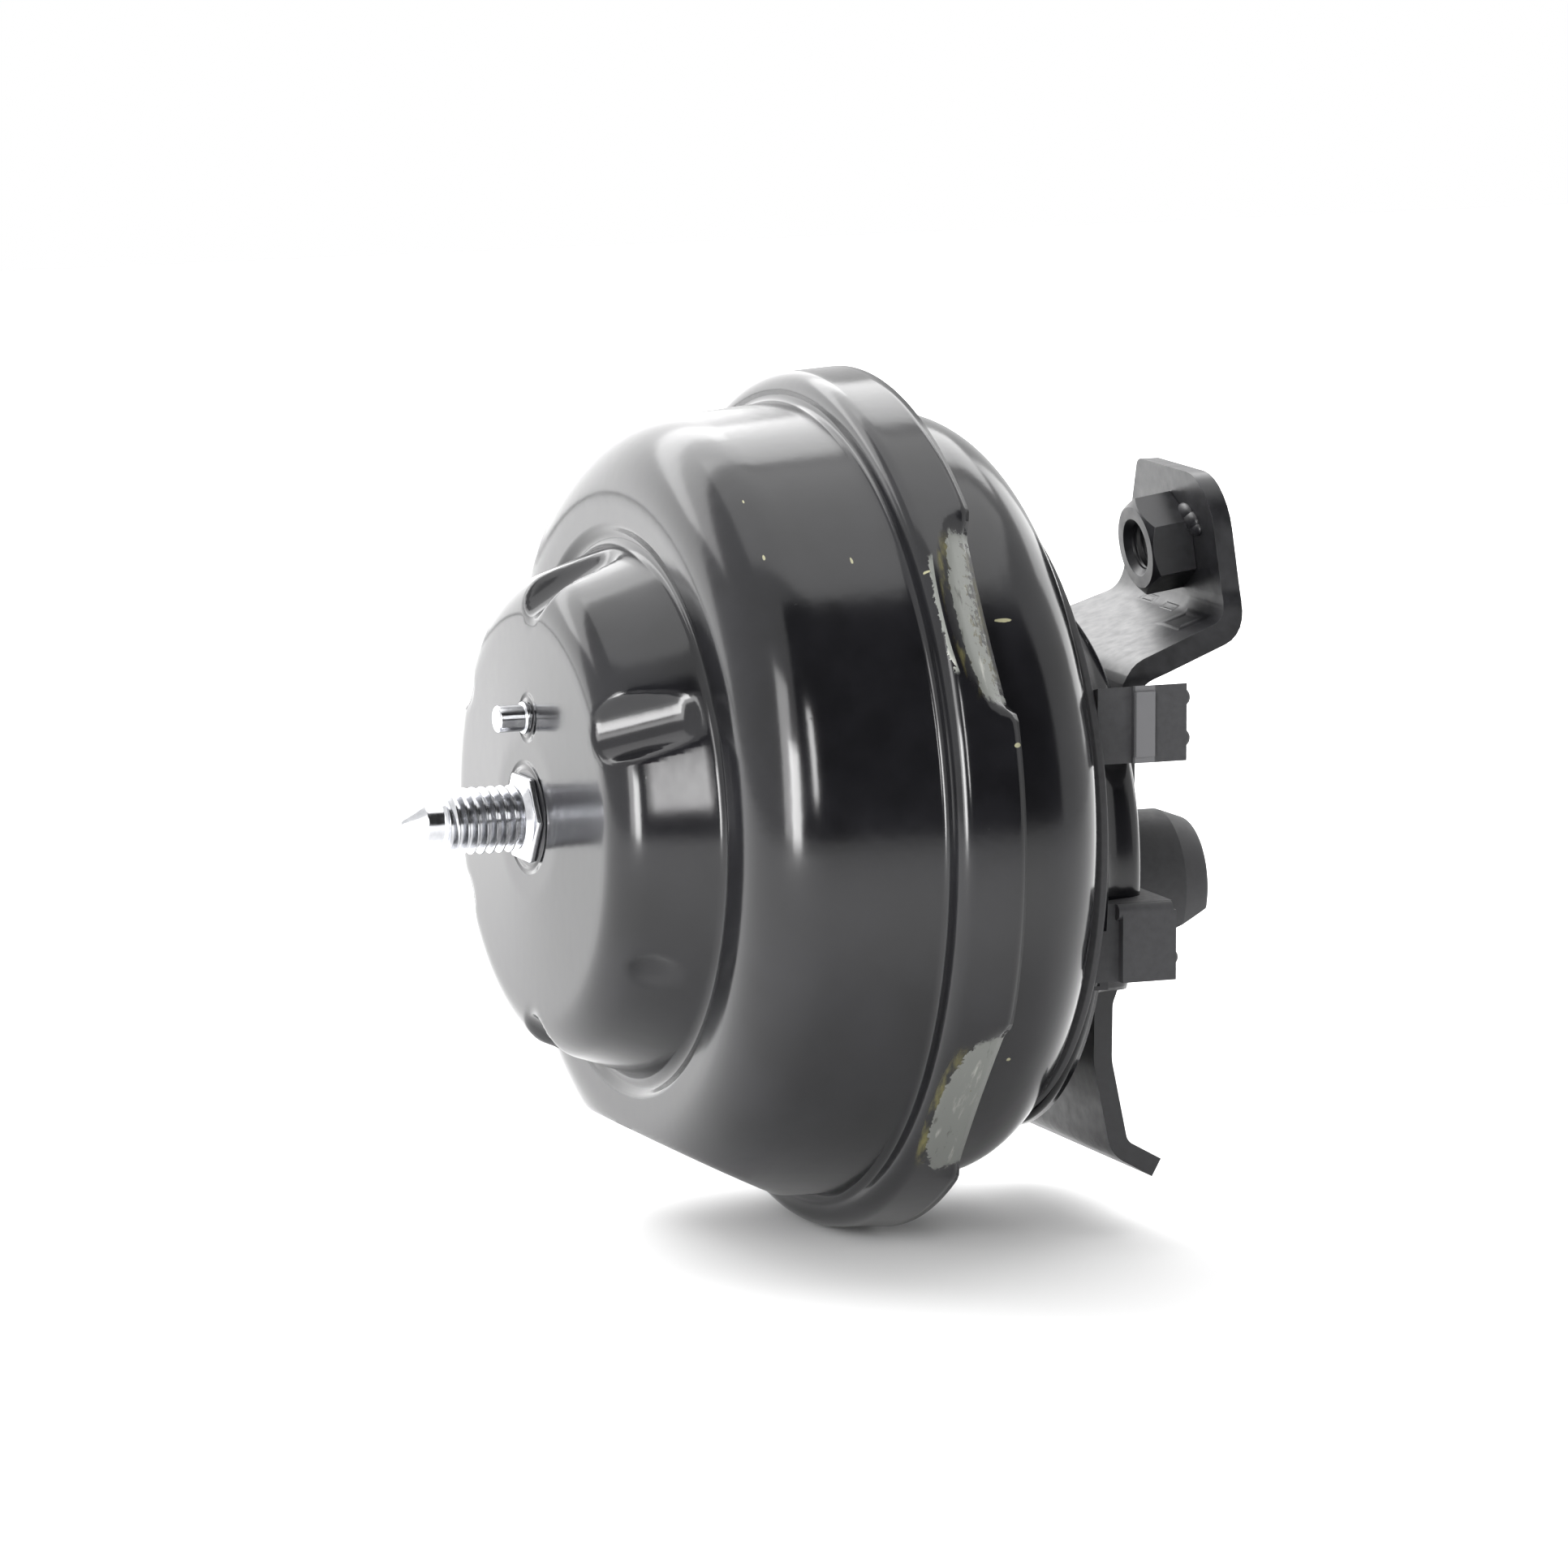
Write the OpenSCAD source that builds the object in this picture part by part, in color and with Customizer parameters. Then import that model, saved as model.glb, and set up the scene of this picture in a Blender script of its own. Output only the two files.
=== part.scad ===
// Hydraulic engine mount: a pressed steel pot with a stud, a rubber spring
// with fluid chambers inside, and a sheet steel bracket on top of its hub.
// The mount's axis lies along X, with the stud toward -X. The origin is on
// that axis, at the outer face of the pot's boss, where the stud stands.
// The bracket's ear points up (+Z) and its leg points down.

/* [Pot] */
// Thickness of the pot's pressed steel sheet
cup_t = 2; // [1.6:0.1:2.4]
// Outer radius of the boss at its front edge
boss_r = 34.6; // [33:0.1:36]
// Rise of the domed boss face from its flat middle to its edge
boss_dome = 1; // [0.5:0.1:1.5]
// Radius of the flat middle of the boss face
boss_flat = 12; // [10:0.5:14]
// Distance along the axis from the boss face to the groove round the boss
groove_s = 17.2; // [16.5:0.1:18.5]
// Radius of the boss at the groove
groove_r = 40.2; // [39:0.1:41]
// Distance along the axis to the front of the shoulder
shoulder_s = 15.2; // [14.8:0.1:15.6]
// Outer radius of the pot's wall at the shoulder
wall_r = 57.6; // [54:0.1:70]
// Bend radius of the shoulder
shoulder_bend = 12; // [8:0.5:13]
// Widening of the pot's wall from the shoulder to the rim
wall_draft = 2.4; // [1:0.1:3]
// Distance along the axis to the front of the rim
rim_s = 42.9; // [36:0.1:52]
// Step of the rim over the end of the wall
rim_step = 4.9; // [4.5:0.1:6]
// Length of the skirt beyond the shell's flange
lip_l = 3; // [2.4:0.1:3.6]

/* [Pressed marks of the pot] */
// Radius of the rounded notches in the boss edge
notch_r = 6; // [4:0.1:7]
// Width of each crimped stretch of the skirt, in degrees
crimp_w = 28; // [10:1:35]
// Slope of the chamfered flat under the shoulder, in degrees
flat_slope = 26.2; // [24:0.1:28]
// Depth of the flat underside inside the wall's radius
flat_in = 0.6; // [0.1:0.1:2]

/* [Stud and pin] */
// Nominal thread radius of the stud (M10)
stud_r = 5; // [4:0.5:6]
// Length of the stud outside the boss
stud_l = 20; // [16:0.5:26]
// Width across the flats of the stud's hexagonal collar
collar_af = 13; // [11.5:0.5:15]
// Thickness of the stud's collar
collar_t = 2; // [1:0.1:3]
// Radius of the locating pin
pin_r = 2; // [1.5:0.1:3]
// Length of the locating pin outside the boss
pin_l = 4.8; // [3:0.1:8]
// Height of the locating pin above the mount's axis
pin_z = 15; // [13:0.1:20]

/* [Upper shell] */
// Thickness of the shell's sheet
shell_t = 1.6; // [1.3:0.1:2]
// Step of the shell in from the skirt's outside
shell_step = 7; // [6:0.1:8.5]
// Length of the shell from its flange to its end face
shell_l = 21.3; // [17.7:0.1:25.6]
// Bend radius of the shell's outer corner
shell_bend = 12; // [8:0.5:14]
// Radius of the opening in the shell's end face
shell_hole = 33; // [30:0.5:36]

/* [Hub] */
// Drop of the hub's centre below the mount's axis
hub_drop = 8; // [4:0.5:10]
// Outer radius of the hub's rim
hub_r = 37.7; // [36.5:0.1:38.5]
// Height of the hub's flat top over the shell's end face
hub_h = 12.5; // [10.4:0.1:15]
// Thickness of the hub's sheet
hub_t = 2; // [1.6:0.1:2.5]
// Depth below the axis at which the hub is cut open for the leg
hub_cut = 26; // [25:0.5:30]
// Outer radius of the rubber collar between the shell and the hub
pad_r = 48.4; // [46:0.1:50]
// Thickness of the rubber collar
pad_t = 2; // [1.5:0.1:3]

/* [Bracket] */
// Thickness of the bracket's sheet
br_t = 3; // [2.5:0.1:3.5]
// Width of the ear across the nut
ear_w = 32.6; // [27:0.1:39]
// Height of the ear's top edge above the axis
ear_top = 48.3; // [47:0.1:58]
// Taper of the ear's far edge, in degrees
ear_taper = 30; // [10:1:32]
// Lean of the ear toward the pot, in degrees
ear_lean = 8; // [0:0.1:9]
// Reach of the ear beyond the hub's top
ear_reach = 22.6; // [18.8:0.1:27.2]
// Width of the leg
leg_w = 51; // [42.5:0.5:54]
// Depth of the leg's foot below the axis
foot_z = 56; // [54:0.1:67.2]
// Across-flats width of the weld nut (M8)
nut_af = 13; // [11:0.5:15]
// Height of the weld nut
nut_h = 6.8; // [5:0.1:8.2]
// Radius of the nut's bore at the thread's crests
nut_bore = 3.4; // [3:0.1:4]
// Height of the nut's centre above the axis
nut_z = 37.1; // [36:0.1:39]

/* [Rubber stops] */
// Radius of the round stop on the bracket
stop_r = 11; // [9:0.1:13.5]
// Length of the round stop
stop_l = 16.6; // [12:0.1:22]
// Height of each side block
block_h = 11.7; // [9.7:0.1:14]
// Distance of the side blocks' outer face from the axis
block_y = 44.5; // [42:0.5:47]

/* [Hidden] */

fn_body = 96;
arc_n = 7;
eps = 0.01;
far = 200;
fit = 0.05;

flat_z = wall_r - flat_in;
wall_end_r = wall_r + wall_draft;
rim_r = wall_end_r + rim_step;

// Stack of parts that the skirt clamps behind the rim's front wall
seat_s = rim_s + cup_t;
bead_t = 1.2;
plate_t = 0.8;
ring_t = 0.8;
plates_s = seat_s + bead_t;
ring_s = plates_s + 2 * plate_t;
flange_s = ring_s + ring_t;
flange_end = flange_s + shell_t;
stack_r = rim_r - cup_t - 1.3;
rim_end = flange_end + lip_l;
shell_r = rim_r - shell_step;
shell_end = flange_end + shell_l;
hub_top = shell_end + hub_h;
ear_s = hub_top + ear_reach;

// Crimp: the skirt bends inward behind the shell's flange at this slope
crimp_slope = 50;
crimp_mid = [35, -42, 145, -138];
crimp_cut = 0.6;

// Notches of the boss: round the axis, and their valley from face to groove
notch_at = [90, 30, -90, 150, -150];
notch_a = [3.5, boss_r - 3.2];
notch_b = [groove_s - 3.2, groove_r - 2.4];

function unit(v) = v / norm(v);
function blend(v, w, a, t) = (sin((1 - t) * a) * v + sin(t * a) * w) / sin(a);

// Arc of radius r that rounds the corner b of the path a, b, c
function corner(a, b, c, r) =
    let (u = unit(a - b),
         v = unit(c - b),
         half = acos(max(-1, min(1, u * v))) / 2,
         leg = r / tan(half),
         m = b + unit(u + v) * r / sin(half),
         p = b + u * leg - m,
         q = b + v * leg - m)
    [for (i = [0 : arc_n]) m + blend(p, q, 180 - 2 * half, i / arc_n)];

// Open path through the points p with the bend radii r
function rounded(p, r) =
    [for (i = [0 : len(p) - 1])
        each (r[i] == 0 ? [p[i]] : corner(p[i - 1], p[i], p[i + 1], r[i]))];

// Closed outline through the points p with the corner radii r
function ring(p, r) =
    let (n = len(p))
    [for (i = [0 : n - 1])
        each (r[i] == 0 ? [p[i]]
              : corner(p[(i + n - 1) % n], p[i], p[(i + 1) % n], r[i]))];

// Normal on the left of an open path at its point i
function left(p, i) =
    let (d = unit(p[min(i + 1, len(p) - 1)] - p[max(i - 1, 0)]))
    [-d[1], d[0]];

// Outline of a sheet of thickness t on the left of the path
function sheet(p, t) =
    concat(p, [for (i = [len(p) - 1 : -1 : 0]) p[i] + t * left(p, i)]);

// Profile of the pot's outer surface, as [radius, distance along the axis]
cup_path = rounded(
    [[0, 0], [boss_flat, 0], [boss_r, boss_dome], [groove_r, groove_s],
     [groove_r + 2.6, shoulder_s], [wall_r, shoulder_s],
     [wall_end_r, rim_s], [rim_r - 0.6, rim_s], [rim_r, rim_end]],
    [0, 0, 7, 1.6, 1.4, shoulder_bend, 1.2, 2.8, 0]);

shell_path = rounded(
    [[stack_r, flange_end], [shell_r, flange_end], [shell_r, shell_end],
     [shell_hole, shell_end]],
    [0, 1.5, shell_bend, 0]);

hub_path = rounded(
    [[hub_r + 5.8, shell_end + pad_t + hub_t],
     [hub_r + 2.6, shell_end + pad_t + hub_t],
     [hub_r, hub_top], [0, hub_top]],
    [0, 1.5, 4, 0]);

// Revolves a profile of [radius, distance] about the mount's axis
module turned() {
    rotate([0, 90, 0])
        rotate_extrude($fn = fn_body)
            children();
}

// Ring between two radii and two distances along the axis
module washer(r0, r1, s0, s1) {
    turned()
        translate([r0, s0])
            square([r1 - r0, s1 - s0]);
}

// Turns what is drawn on the near side (-Y) up round the axis by an angle
module round_axis(a) {
    rotate([-a, 0, 0])
        children();
}

// Solid inside a sheet path, shifted inward by the sheet's thickness t
module solid_of(path, t) {
    shifted = [for (i = [0 : len(path) - 1]) path[i] + t * left(path, i)];
    last = shifted[len(shifted) - 1];
    turned()
        polygon(concat([[0, last[1] + t]], [[0, shifted[0][1]]],
                       [for (p = shifted) [max(p[0], 0), p[1]]],
                       [[last[0], last[1] + t]]));
}

// Cutters that press the notches into the boss, grown by t for the inside
module notches(t) {
    run = notch_b - notch_a;
    axis_a = atan2(run[1], run[0]);
    for (a = notch_at)
        round_axis(a)
            translate([notch_b[0], -notch_b[1], 0])
                rotate([0, 0, -axis_a])
                    translate([t * 0.5, -notch_r, 0])
                        rotate([0, -90, 0])
                            cylinder(h = 2 * norm(run), r = notch_r + t,
                                     $fn = 48);
}

// Region under the pot's two flats, moved inward by t
module underside(t) {
    a = flat_slope;
    knee = [34, -flat_z];
    start = knee - 40 * [cos(a), -sin(a)];
    shift = t * [sin(a), cos(a)];
    rotate([90, 0, 0])
        translate([0, 0, -far / 2])
            linear_extrude(far)
                polygon([start + shift, knee + [t * tan(a / 2), t],
                         [rim_s - 0.4, -flat_z + t], [rim_s - 0.4, -far],
                         [start[0], -far]]);
}

// Region outside the bent edge of the skirt, moved inward by t
module crimps(t) {
    w = crimp_w;
    bend = [stack_r + 0.15, flange_end + 0.1];
    out = (cup_t - t) * [cos(90 - crimp_slope), sin(90 - crimp_slope)];
    p = bend + out;
    run = [-sin(crimp_slope), cos(crimp_slope)];
    for (a = crimp_mid)
        round_axis(a)
            rotate([0, 90, 0])
                rotate_extrude(angle = w, start = -90 - w / 2, $fn = fn_body)
                    polygon([p - 5 * run, p + 9 * run,
                             p + 9 * run + [18, 0], p - 5 * run + [12, 0]]);
}

module lower_cup() {
    mark_s = 6.5;
    mark_r = 37.3;
    color("#151517")
        difference() {
            solid_of(cup_path, 0);
            notches(0);
            underside(0);
            crimps(0);
            // Shallow round mark where a notch is left out
            round_axis(-30)
                translate([mark_s, -mark_r - 4.6, 0])
                    sphere(r = 6, $fn = 48);
            difference() {
                solid_of(cup_path, cup_t);
                notches(cup_t);
                underside(cup_t);
                crimps(cup_t);
            }
            washer(0, stack_r, seat_s + 1, rim_end + 9);
            // The bent edge ends lower, as folding draws it in
            for (a = crimp_mid)
                round_axis(a)
                    rotate([0, 90, 0])
                        rotate_extrude(angle = crimp_w,
                                       start = -90 - crimp_w / 2,
                                       $fn = fn_body)
                            translate([stack_r - 9, rim_end - crimp_cut])
                                square([20, 9]);
            rotate([0, 90, 0])
                cylinder(h = 10, r = stud_r + 0.5 + fit, center = true,
                         $fn = 64);
            translate([0, 0, pin_z])
                rotate([0, 90, 0])
                    cylinder(h = 10, r = pin_r + fit, center = true,
                             $fn = 48);
        }
}

// Stud: thread, dog point and cone outside, a hexagonal collar on the boss
// face and a flat head inside that holds it.
module stud() {
    shank = stud_r + 0.5;
    dog = 0.63 * stud_r;
    cone_l = 3.4;
    dog_l = 2.6;
    edge = 0.8;
    color("#c9cbd0")
        union() {
            turned()
                polygon([[0, -stud_l], [0.7, -stud_l],
                         [dog, cone_l - stud_l],
                         [dog, cone_l + dog_l - stud_l],
                         [stud_r, cone_l + dog_l + edge - stud_l],
                         [stud_r, -collar_t], [shank, -collar_t],
                         [shank, cup_t], [2 * shank, cup_t],
                         [2 * shank, cup_t + 2.5], [0, cup_t + 2.5]]);
            translate([-collar_t, 0, 0])
                rotate([0, 90, 0])
                    cylinder(h = collar_t, r = collar_af / sqrt(3), $fn = 6);
        }
}

module locating_pin() {
    head = 2 * pin_r;
    slope = boss_dome / (boss_r - boss_flat);
    back = cup_t + slope * (pin_z + head - boss_flat) + fit;
    color("#c9cbd0")
        translate([0, 0, pin_z])
            turned()
                polygon([[0, -pin_l], [pin_r - 0.2, -pin_l],
                         [pin_r, 0.2 - pin_l], [pin_r, -0.7],
                         [pin_r + 0.4, -0.7], [pin_r + 0.4, 0],
                         [pin_r, 0], [pin_r, back], [head, back],
                         [head, back + 1.5], [0, back + 1.5]]);
}

// Rubber bellows that closes the lower fluid chamber, with a clamped bead
module diaphragm() {
    t = bead_t;
    bead_r = stack_r - 6;
    path = rounded([[0, seat_s - 13], [16, seat_s - 13], [24, seat_s - 22],
                    [34, seat_s - 22], [46, seat_s - 2],
                    [bead_r, seat_s]],
                   [0, 4, 4, 5, 4, 0]);
    color("#1b1b1c")
        union() {
            turned()
                polygon(sheet(path, t));
            washer(bead_r - 1, stack_r - 4.2, seat_s, seat_s + bead_t);
        }
}

// Steel ring round the diaphragm's bead
module diaphragm_ring() {
    color("#8d9094")
        washer(stack_r - 4.2, stack_r, seat_s, seat_s + bead_t);
}

track_r = 36;
track_w = 9;
track_d = 4.5;
window_r = 21;
port_a = 150;

// Lower half of the fluid channel: a flanged dish with the channel's trough
module channel_lower_plate() {
    t = plate_t;
    color("#9a9ca0")
        difference() {
            union() {
                washer(0, stack_r, plates_s, plates_s + t);
                washer(track_r - track_w / 2 - t, track_r + track_w / 2 + t,
                       plates_s - track_d, plates_s + t / 2);
            }
            washer(track_r - track_w / 2, track_r + track_w / 2,
                   plates_s - track_d + t, plates_s + t + eps);
            // Windows under the decoupler disc
            for (a = [0 : 60 : 300])
                round_axis(a)
                    translate([plates_s - eps, -0.62 * window_r, 0])
                        rotate([0, 90, 0])
                            cylinder(h = 2 * t, r = 4, $fn = 32);
            // Port at the lower end of the channel
            round_axis(port_a)
                translate([plates_s - track_d - eps, -track_r, 0])
                    rotate([0, 90, 0])
                        cylinder(h = 2 * t, r = 3, $fn = 32);
        }
}

// Upper half of the channel: a cover with a raised cage for the decoupler
module channel_upper_plate() {
    t = plate_t;
    s = plates_s + t;
    cage_d = 4;
    color("#a5a7ab")
        difference() {
            union() {
                washer(window_r, stack_r, s, s + t);
                washer(0, window_r + t, s, s + cage_d + t);
            }
            washer(0, window_r, s - eps, s + cage_d);
            for (a = [0 : 60 : 300])
                round_axis(a)
                    translate([s + cage_d - eps, -0.62 * window_r, 0])
                        rotate([0, 90, 0])
                            cylinder(h = 2 * t, r = 4, $fn = 32);
            round_axis(-port_a)
                translate([s - eps, -track_r, 0])
                    rotate([0, 90, 0])
                        cylinder(h = 2 * t, r = 3, $fn = 32);
        }
}

// Loose rubber disc in the cage; it lies on the lower plate
module decoupler_disc() {
    s = plates_s + plate_t;
    color("#202022")
        washer(0, window_r - 0.5, s, s + 3);
}

// Steel ring bonded into the outside of the rubber spring
cone_a = [stack_r - 7, ring_s + ring_t];
cone_b = [shell_r - 14.9, shell_end - shell_t - 4];
cone_n = unit([cone_a[1] - cone_b[1], cone_b[0] - cone_a[0]]);

module spring_ring() {
    path = rounded([[stack_r, ring_s + ring_t], cone_a,
                    cone_b],
                   [0, 2, 0]);
    color("#7d8084")
        turned()
            polygon(sheet(path, ring_t));
}

core_s = flange_end + 7.9;
core_r0 = 13;
bolt_z = 2.5;
bolt_r = 4;
core_r1 = 21;
neck_s = shell_end + 6.6;

// Main rubber spring: a thick cone between the ring and the core
module main_spring() {
    in_a = cone_a + ring_t * cone_n;
    in_b = cone_b + ring_t * cone_n;
    color("#19191a")
        turned()
            polygon(ring([[core_r0, core_s], [core_r1, neck_s - 4],
                          [shell_hole - 3, shell_end - shell_t],
                          [in_b[0] - 2, in_b[1] + 1],
                          in_b, in_a, [in_a[0] - 5, ring_s + ring_t + 0.5],
                          [core_r0 + 4, core_s - 4], [core_r0, core_s - 3]],
                         [0, 0, 3, 1, 0, 0, 1.5, 2, 0]));
}

// Conical steel core, bonded in the spring and threaded for the bolt
module core() {
    color("#85888c")
        difference() {
            turned()
                polygon([[0, core_s], [core_r0, core_s],
                         [core_r1, neck_s - 4], [core_r1, hub_top - hub_t],
                         [0, hub_top - hub_t]]);
            translate([core_s + 4, 0, bolt_z])
                rotate([0, 90, 0])
                    cylinder(h = 40, r = bolt_r + fit, $fn = 48);
        }
}

module upper_shell() {
    color("#151517")
        turned()
            polygon(sheet(shell_path, shell_t));
}

module hub_frame() {
    translate([0, 0, -hub_drop])
        children();
}

// Matte rubber collar that lies on the shell's end face
module rubber_collar() {
    color("#2a2a2c")
        difference() {
            translate([0, 0, -hub_drop / 4])
                turned()
                    polygon([[0, shell_end], [pad_r - 0.8, shell_end],
                             [pad_r, shell_end + 0.8],
                             [pad_r, shell_end + pad_t],
                             [0, shell_end + pad_t]]);
            washer(0, shell_hole, shell_end - 1, shell_end + pad_t + 1);
        }
}

// Pressed hub over the spring, cut open below where the leg passes
module hub() {
    color("#151517")
        difference() {
            hub_frame()
                turned()
                    polygon(sheet(hub_path, hub_t));
            translate([shell_end + pad_t + hub_t, -far / 2, -far - hub_cut])
                cube([far, far, far]);
            translate([shell_end + pad_t + hub_t, near_y - 1,
                       -far - hub_cut + 7])
                cube([far, leg_w + 2, far]);
            translate([0, 0, bolt_z])
                rotate([0, 90, 0])
                    cylinder(h = far, r = bolt_r + 0.5, $fn = 64);
        }
}

// Rubber ring under the hub's top that cushions the rebound
module rebound_ring() {
    s1 = hub_top - hub_t;
    color("#222224")
        washer(core_r1 + 0.3, core_r1 + 3, s1 - 5, s1);
}

// Bracket: one pressing with a plate on the hub, an arm up to the ear and a
// leg down to the foot. Its side view is a sheet path; its end view is cut
// from that sheet.
br_s = hub_top + br_t / 2;
near_y = -leg_w / 2 - 1.5;
far_y = leg_w / 2 - 1.5;
arm_z = 19.5;
ear_rise = 26.3;
ear_y = 13.1 - ear_w;
ear_far = [ear_y + ear_w + (nut_z - ear_top) * tan(ear_taper),
           ear_y + ear_w + (nut_z - 29) * tan(ear_taper)];

side_path = rounded(
    [[ear_s - (ear_top + 8 - ear_rise) * tan(ear_lean), ear_top + 8],
     [ear_s, ear_rise], [br_s, arm_z], [br_s, 6 - hub_cut],
     [br_s - 3.4, -hub_cut - 3], [br_s - 3.5, -38],
     [br_s - 0.7, 4.6 - foot_z], [br_s + 5.4, 1.2 - foot_z]],
    [0, 5, 6, 4, 5, 10, 3.5, 0]);

end_outline = ring(
    [[ear_y, ear_top], [ear_far[0], ear_top],
     [ear_far[1], 29], [far_y - 6, 21], [far_y, 12], [far_y, -far],
     [near_y, -far], [near_y, arm_z], [ear_y, ear_rise + 3.5]],
    [8, 2.5, 5, 4, 5, 0, 0, 4, 5]);

nut_y = -4.7;
nut_s = ear_s - (nut_z - ear_rise) * tan(ear_lean)
        - (br_t / 2 + fit) / cos(ear_lean);

module nut_frame() {
    translate([nut_s, nut_y, nut_z])
        rotate([0, -90 - ear_lean, 0])
            children();
}

module bracket() {
    color("#242426")
        difference() {
            intersection() {
                rotate([90, 0, 0])
                    translate([0, 0, -far / 2])
                        linear_extrude(far)
                            translate([0, 0])
                                polygon(sheet(
                                    [for (i = [0 : len(side_path) - 1])
                                        side_path[i] - br_t / 2
                                        * left(side_path, i)], br_t));
                translate([hub_top - 40, 0, 0])
                    rotate([90, 0, 90])
                        linear_extrude(far)
                            polygon(end_outline);
            }
            nut_frame()
                translate([0, 0, -10])
                    cylinder(h = 20, r = 4.5, $fn = 48);
            translate([0, 0, bolt_z])
                rotate([0, 90, 0])
                    cylinder(h = far, r = bolt_r + 0.5, $fn = 48);
        }
}

// Bolt that draws the bracket and the hub onto the core
module core_bolt() {
    s0 = hub_top + br_t + 1.6;
    color("#4a4b4e")
        translate([0, 0, bolt_z])
            rotate([0, 90, 0])
                union() {
                    translate([0, 0, core_s + 12])
                        cylinder(h = s0 - core_s - 12, r = bolt_r, $fn = 48);
                    translate([0, 0, s0])
                        cylinder(h = 5.3, r = 13 / sqrt(3), $fn = 6);
                }
}

module core_washer() {
    color("#5a5b5e")
        translate([0, 0, bolt_z])
            washer(bolt_r + 0.5, 7.5, hub_top + br_t, hub_top + br_t + 1.6);
}

// Weld nut on the ear: the thread is a plain bore at its crests
module weld_nut() {
    mouth = nut_bore + 1.1;
    color("#2a2a2c")
        nut_frame()
            difference() {
                intersection() {
                    cylinder(h = nut_h, r = nut_af / sqrt(3), $fn = 6);
                    rotate_extrude($fn = 64)
                        polygon([[0, 0], [nut_af, 0],
                                 [nut_af / sqrt(3), nut_h - 0.9],
                                 [nut_af / sqrt(3) - 1.3, nut_h],
                                 [0, nut_h]]);
                }
                translate([0, 0, -1])
                    cylinder(h = nut_h + 2, r = nut_bore, $fn = 48);
                translate([0, 0, nut_h - 1.1])
                    cylinder(h = 1.2, r1 = nut_bore, r2 = mouth, $fn = 48);
            }
}

// Round rubber stop on the bracket's plate, with a tapered, cut end
module end_stop() {
    s0 = hub_top + br_t;
    s1 = s0 + stop_l;
    color("#2b2b2d")
        translate([0, -8, bolt_z - stop_r - 6])
            difference() {
                turned()
                    polygon([[0, s0], [stop_r, s0], [stop_r, s1 - 4.4],
                             [stop_r - 1.6, s1], [0, s1]]);
                translate([s1, 0, -3])
                    rotate([0, -27, 0])
                        translate([-far / 2, -far / 2, -far])
                            cube([far, far, far]);
            }
}

// Space of the hub and its foot, which the side blocks fit round
module hub_room() {
    hub_frame()
        solid_hub();
}

module solid_hub() {
    n = len(hub_path);
    turned()
        polygon(concat([[0, shell_end]], [[hub_path[0][0], shell_end]],
                       hub_path, [[0, hub_path[n - 1][1]]]));
}

module side_block_upper() {
    s0 = shell_end + pad_t;
    s1 = s0 + 14.1;
    z0 = 9.9;
    top = z0 + block_h;
    color("#2b2b2d")
        union() {
            difference() {
                translate([s0, -block_y, z0])
                    cube([s1 - s0, 17, block_h]);
                hub_room();
                // Top face that falls away behind its front edge
                translate([s0 - 1, -block_y - 0.5, top])
                    rotate([-15, 0, 0])
                        cube([30, 30, 10]);
                // Step in the root beside the raised strip
                translate([s0 - 1, -block_y - 1, z0 - 1])
                    cube([6.4, 1.6, block_h + 2]);
            }
            // Raised strip across the face
            translate([s0 + 5.4, -block_y - 0.5, z0 + 1])
                cube([3.4, 1, block_h - 2]);
            // Two moulding nubs at the outer end
            for (z = [0.26, 0.78])
                translate([s1, -block_y + 2.5, z0 + z * block_h])
                    sphere(r = 1.5, $fn = 32);
        }
}

module side_block_lower() {
    s0 = shell_end + pad_t;
    s1 = s0 + 12.6;
    z0 = -11.2 - block_h;
    lip_r = 1.2;
    color("#2b2b2d")
        union() {
            difference() {
                union() {
                    translate([s0, -block_y + 1.6, z0])
                        cube([s1 - s0, 13, block_h]);
                    translate([s0 + 4, -block_y, z0])
                        cube([s1 - s0 - 4, 10, block_h - lip_r]);
                    // Rolled lip along the top
                    translate([s0 + 3.4, -block_y + lip_r,
                               z0 + block_h - lip_r])
                        rotate([0, 90, 0])
                            cylinder(h = s1 - s0 - 3.8, r = lip_r, $fn = 32);
                    // Small lug at the root
                    translate([s0, -block_y + 4, z0 - 1.6])
                        cube([3.4, 9, 4]);
                }
                hub_room();
            }
            translate([s1, -block_y + 2.5, z0 + 3])
                sphere(r = 1.3, $fn = 32);
        }
}

lower_cup();
stud();
locating_pin();
diaphragm();
diaphragm_ring();
channel_lower_plate();
channel_upper_plate();
decoupler_disc();
spring_ring();
main_spring();
core();
upper_shell();
rubber_collar();
hub();
bracket();
core_bolt();
core_washer();
weld_nut();
end_stop();
side_block_upper();
side_block_lower();
rebound_ring();
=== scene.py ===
# %% [markdown]
# # A hydraulic engine mount
# The mount is a pressed steel pot on a stud, with a rubber spring inside and a
# sheet steel bracket on top. Its axis lies along X, and the pot's boss face is
# at X = 0. The frame below loads the measured solids. The glossy shells are
# made again here as fine, smooth meshes, because gloss paint shows every facet.

# %% Load the frame
import math
import bmesh
import bpy
from mathutils import Matrix, Vector


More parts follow.
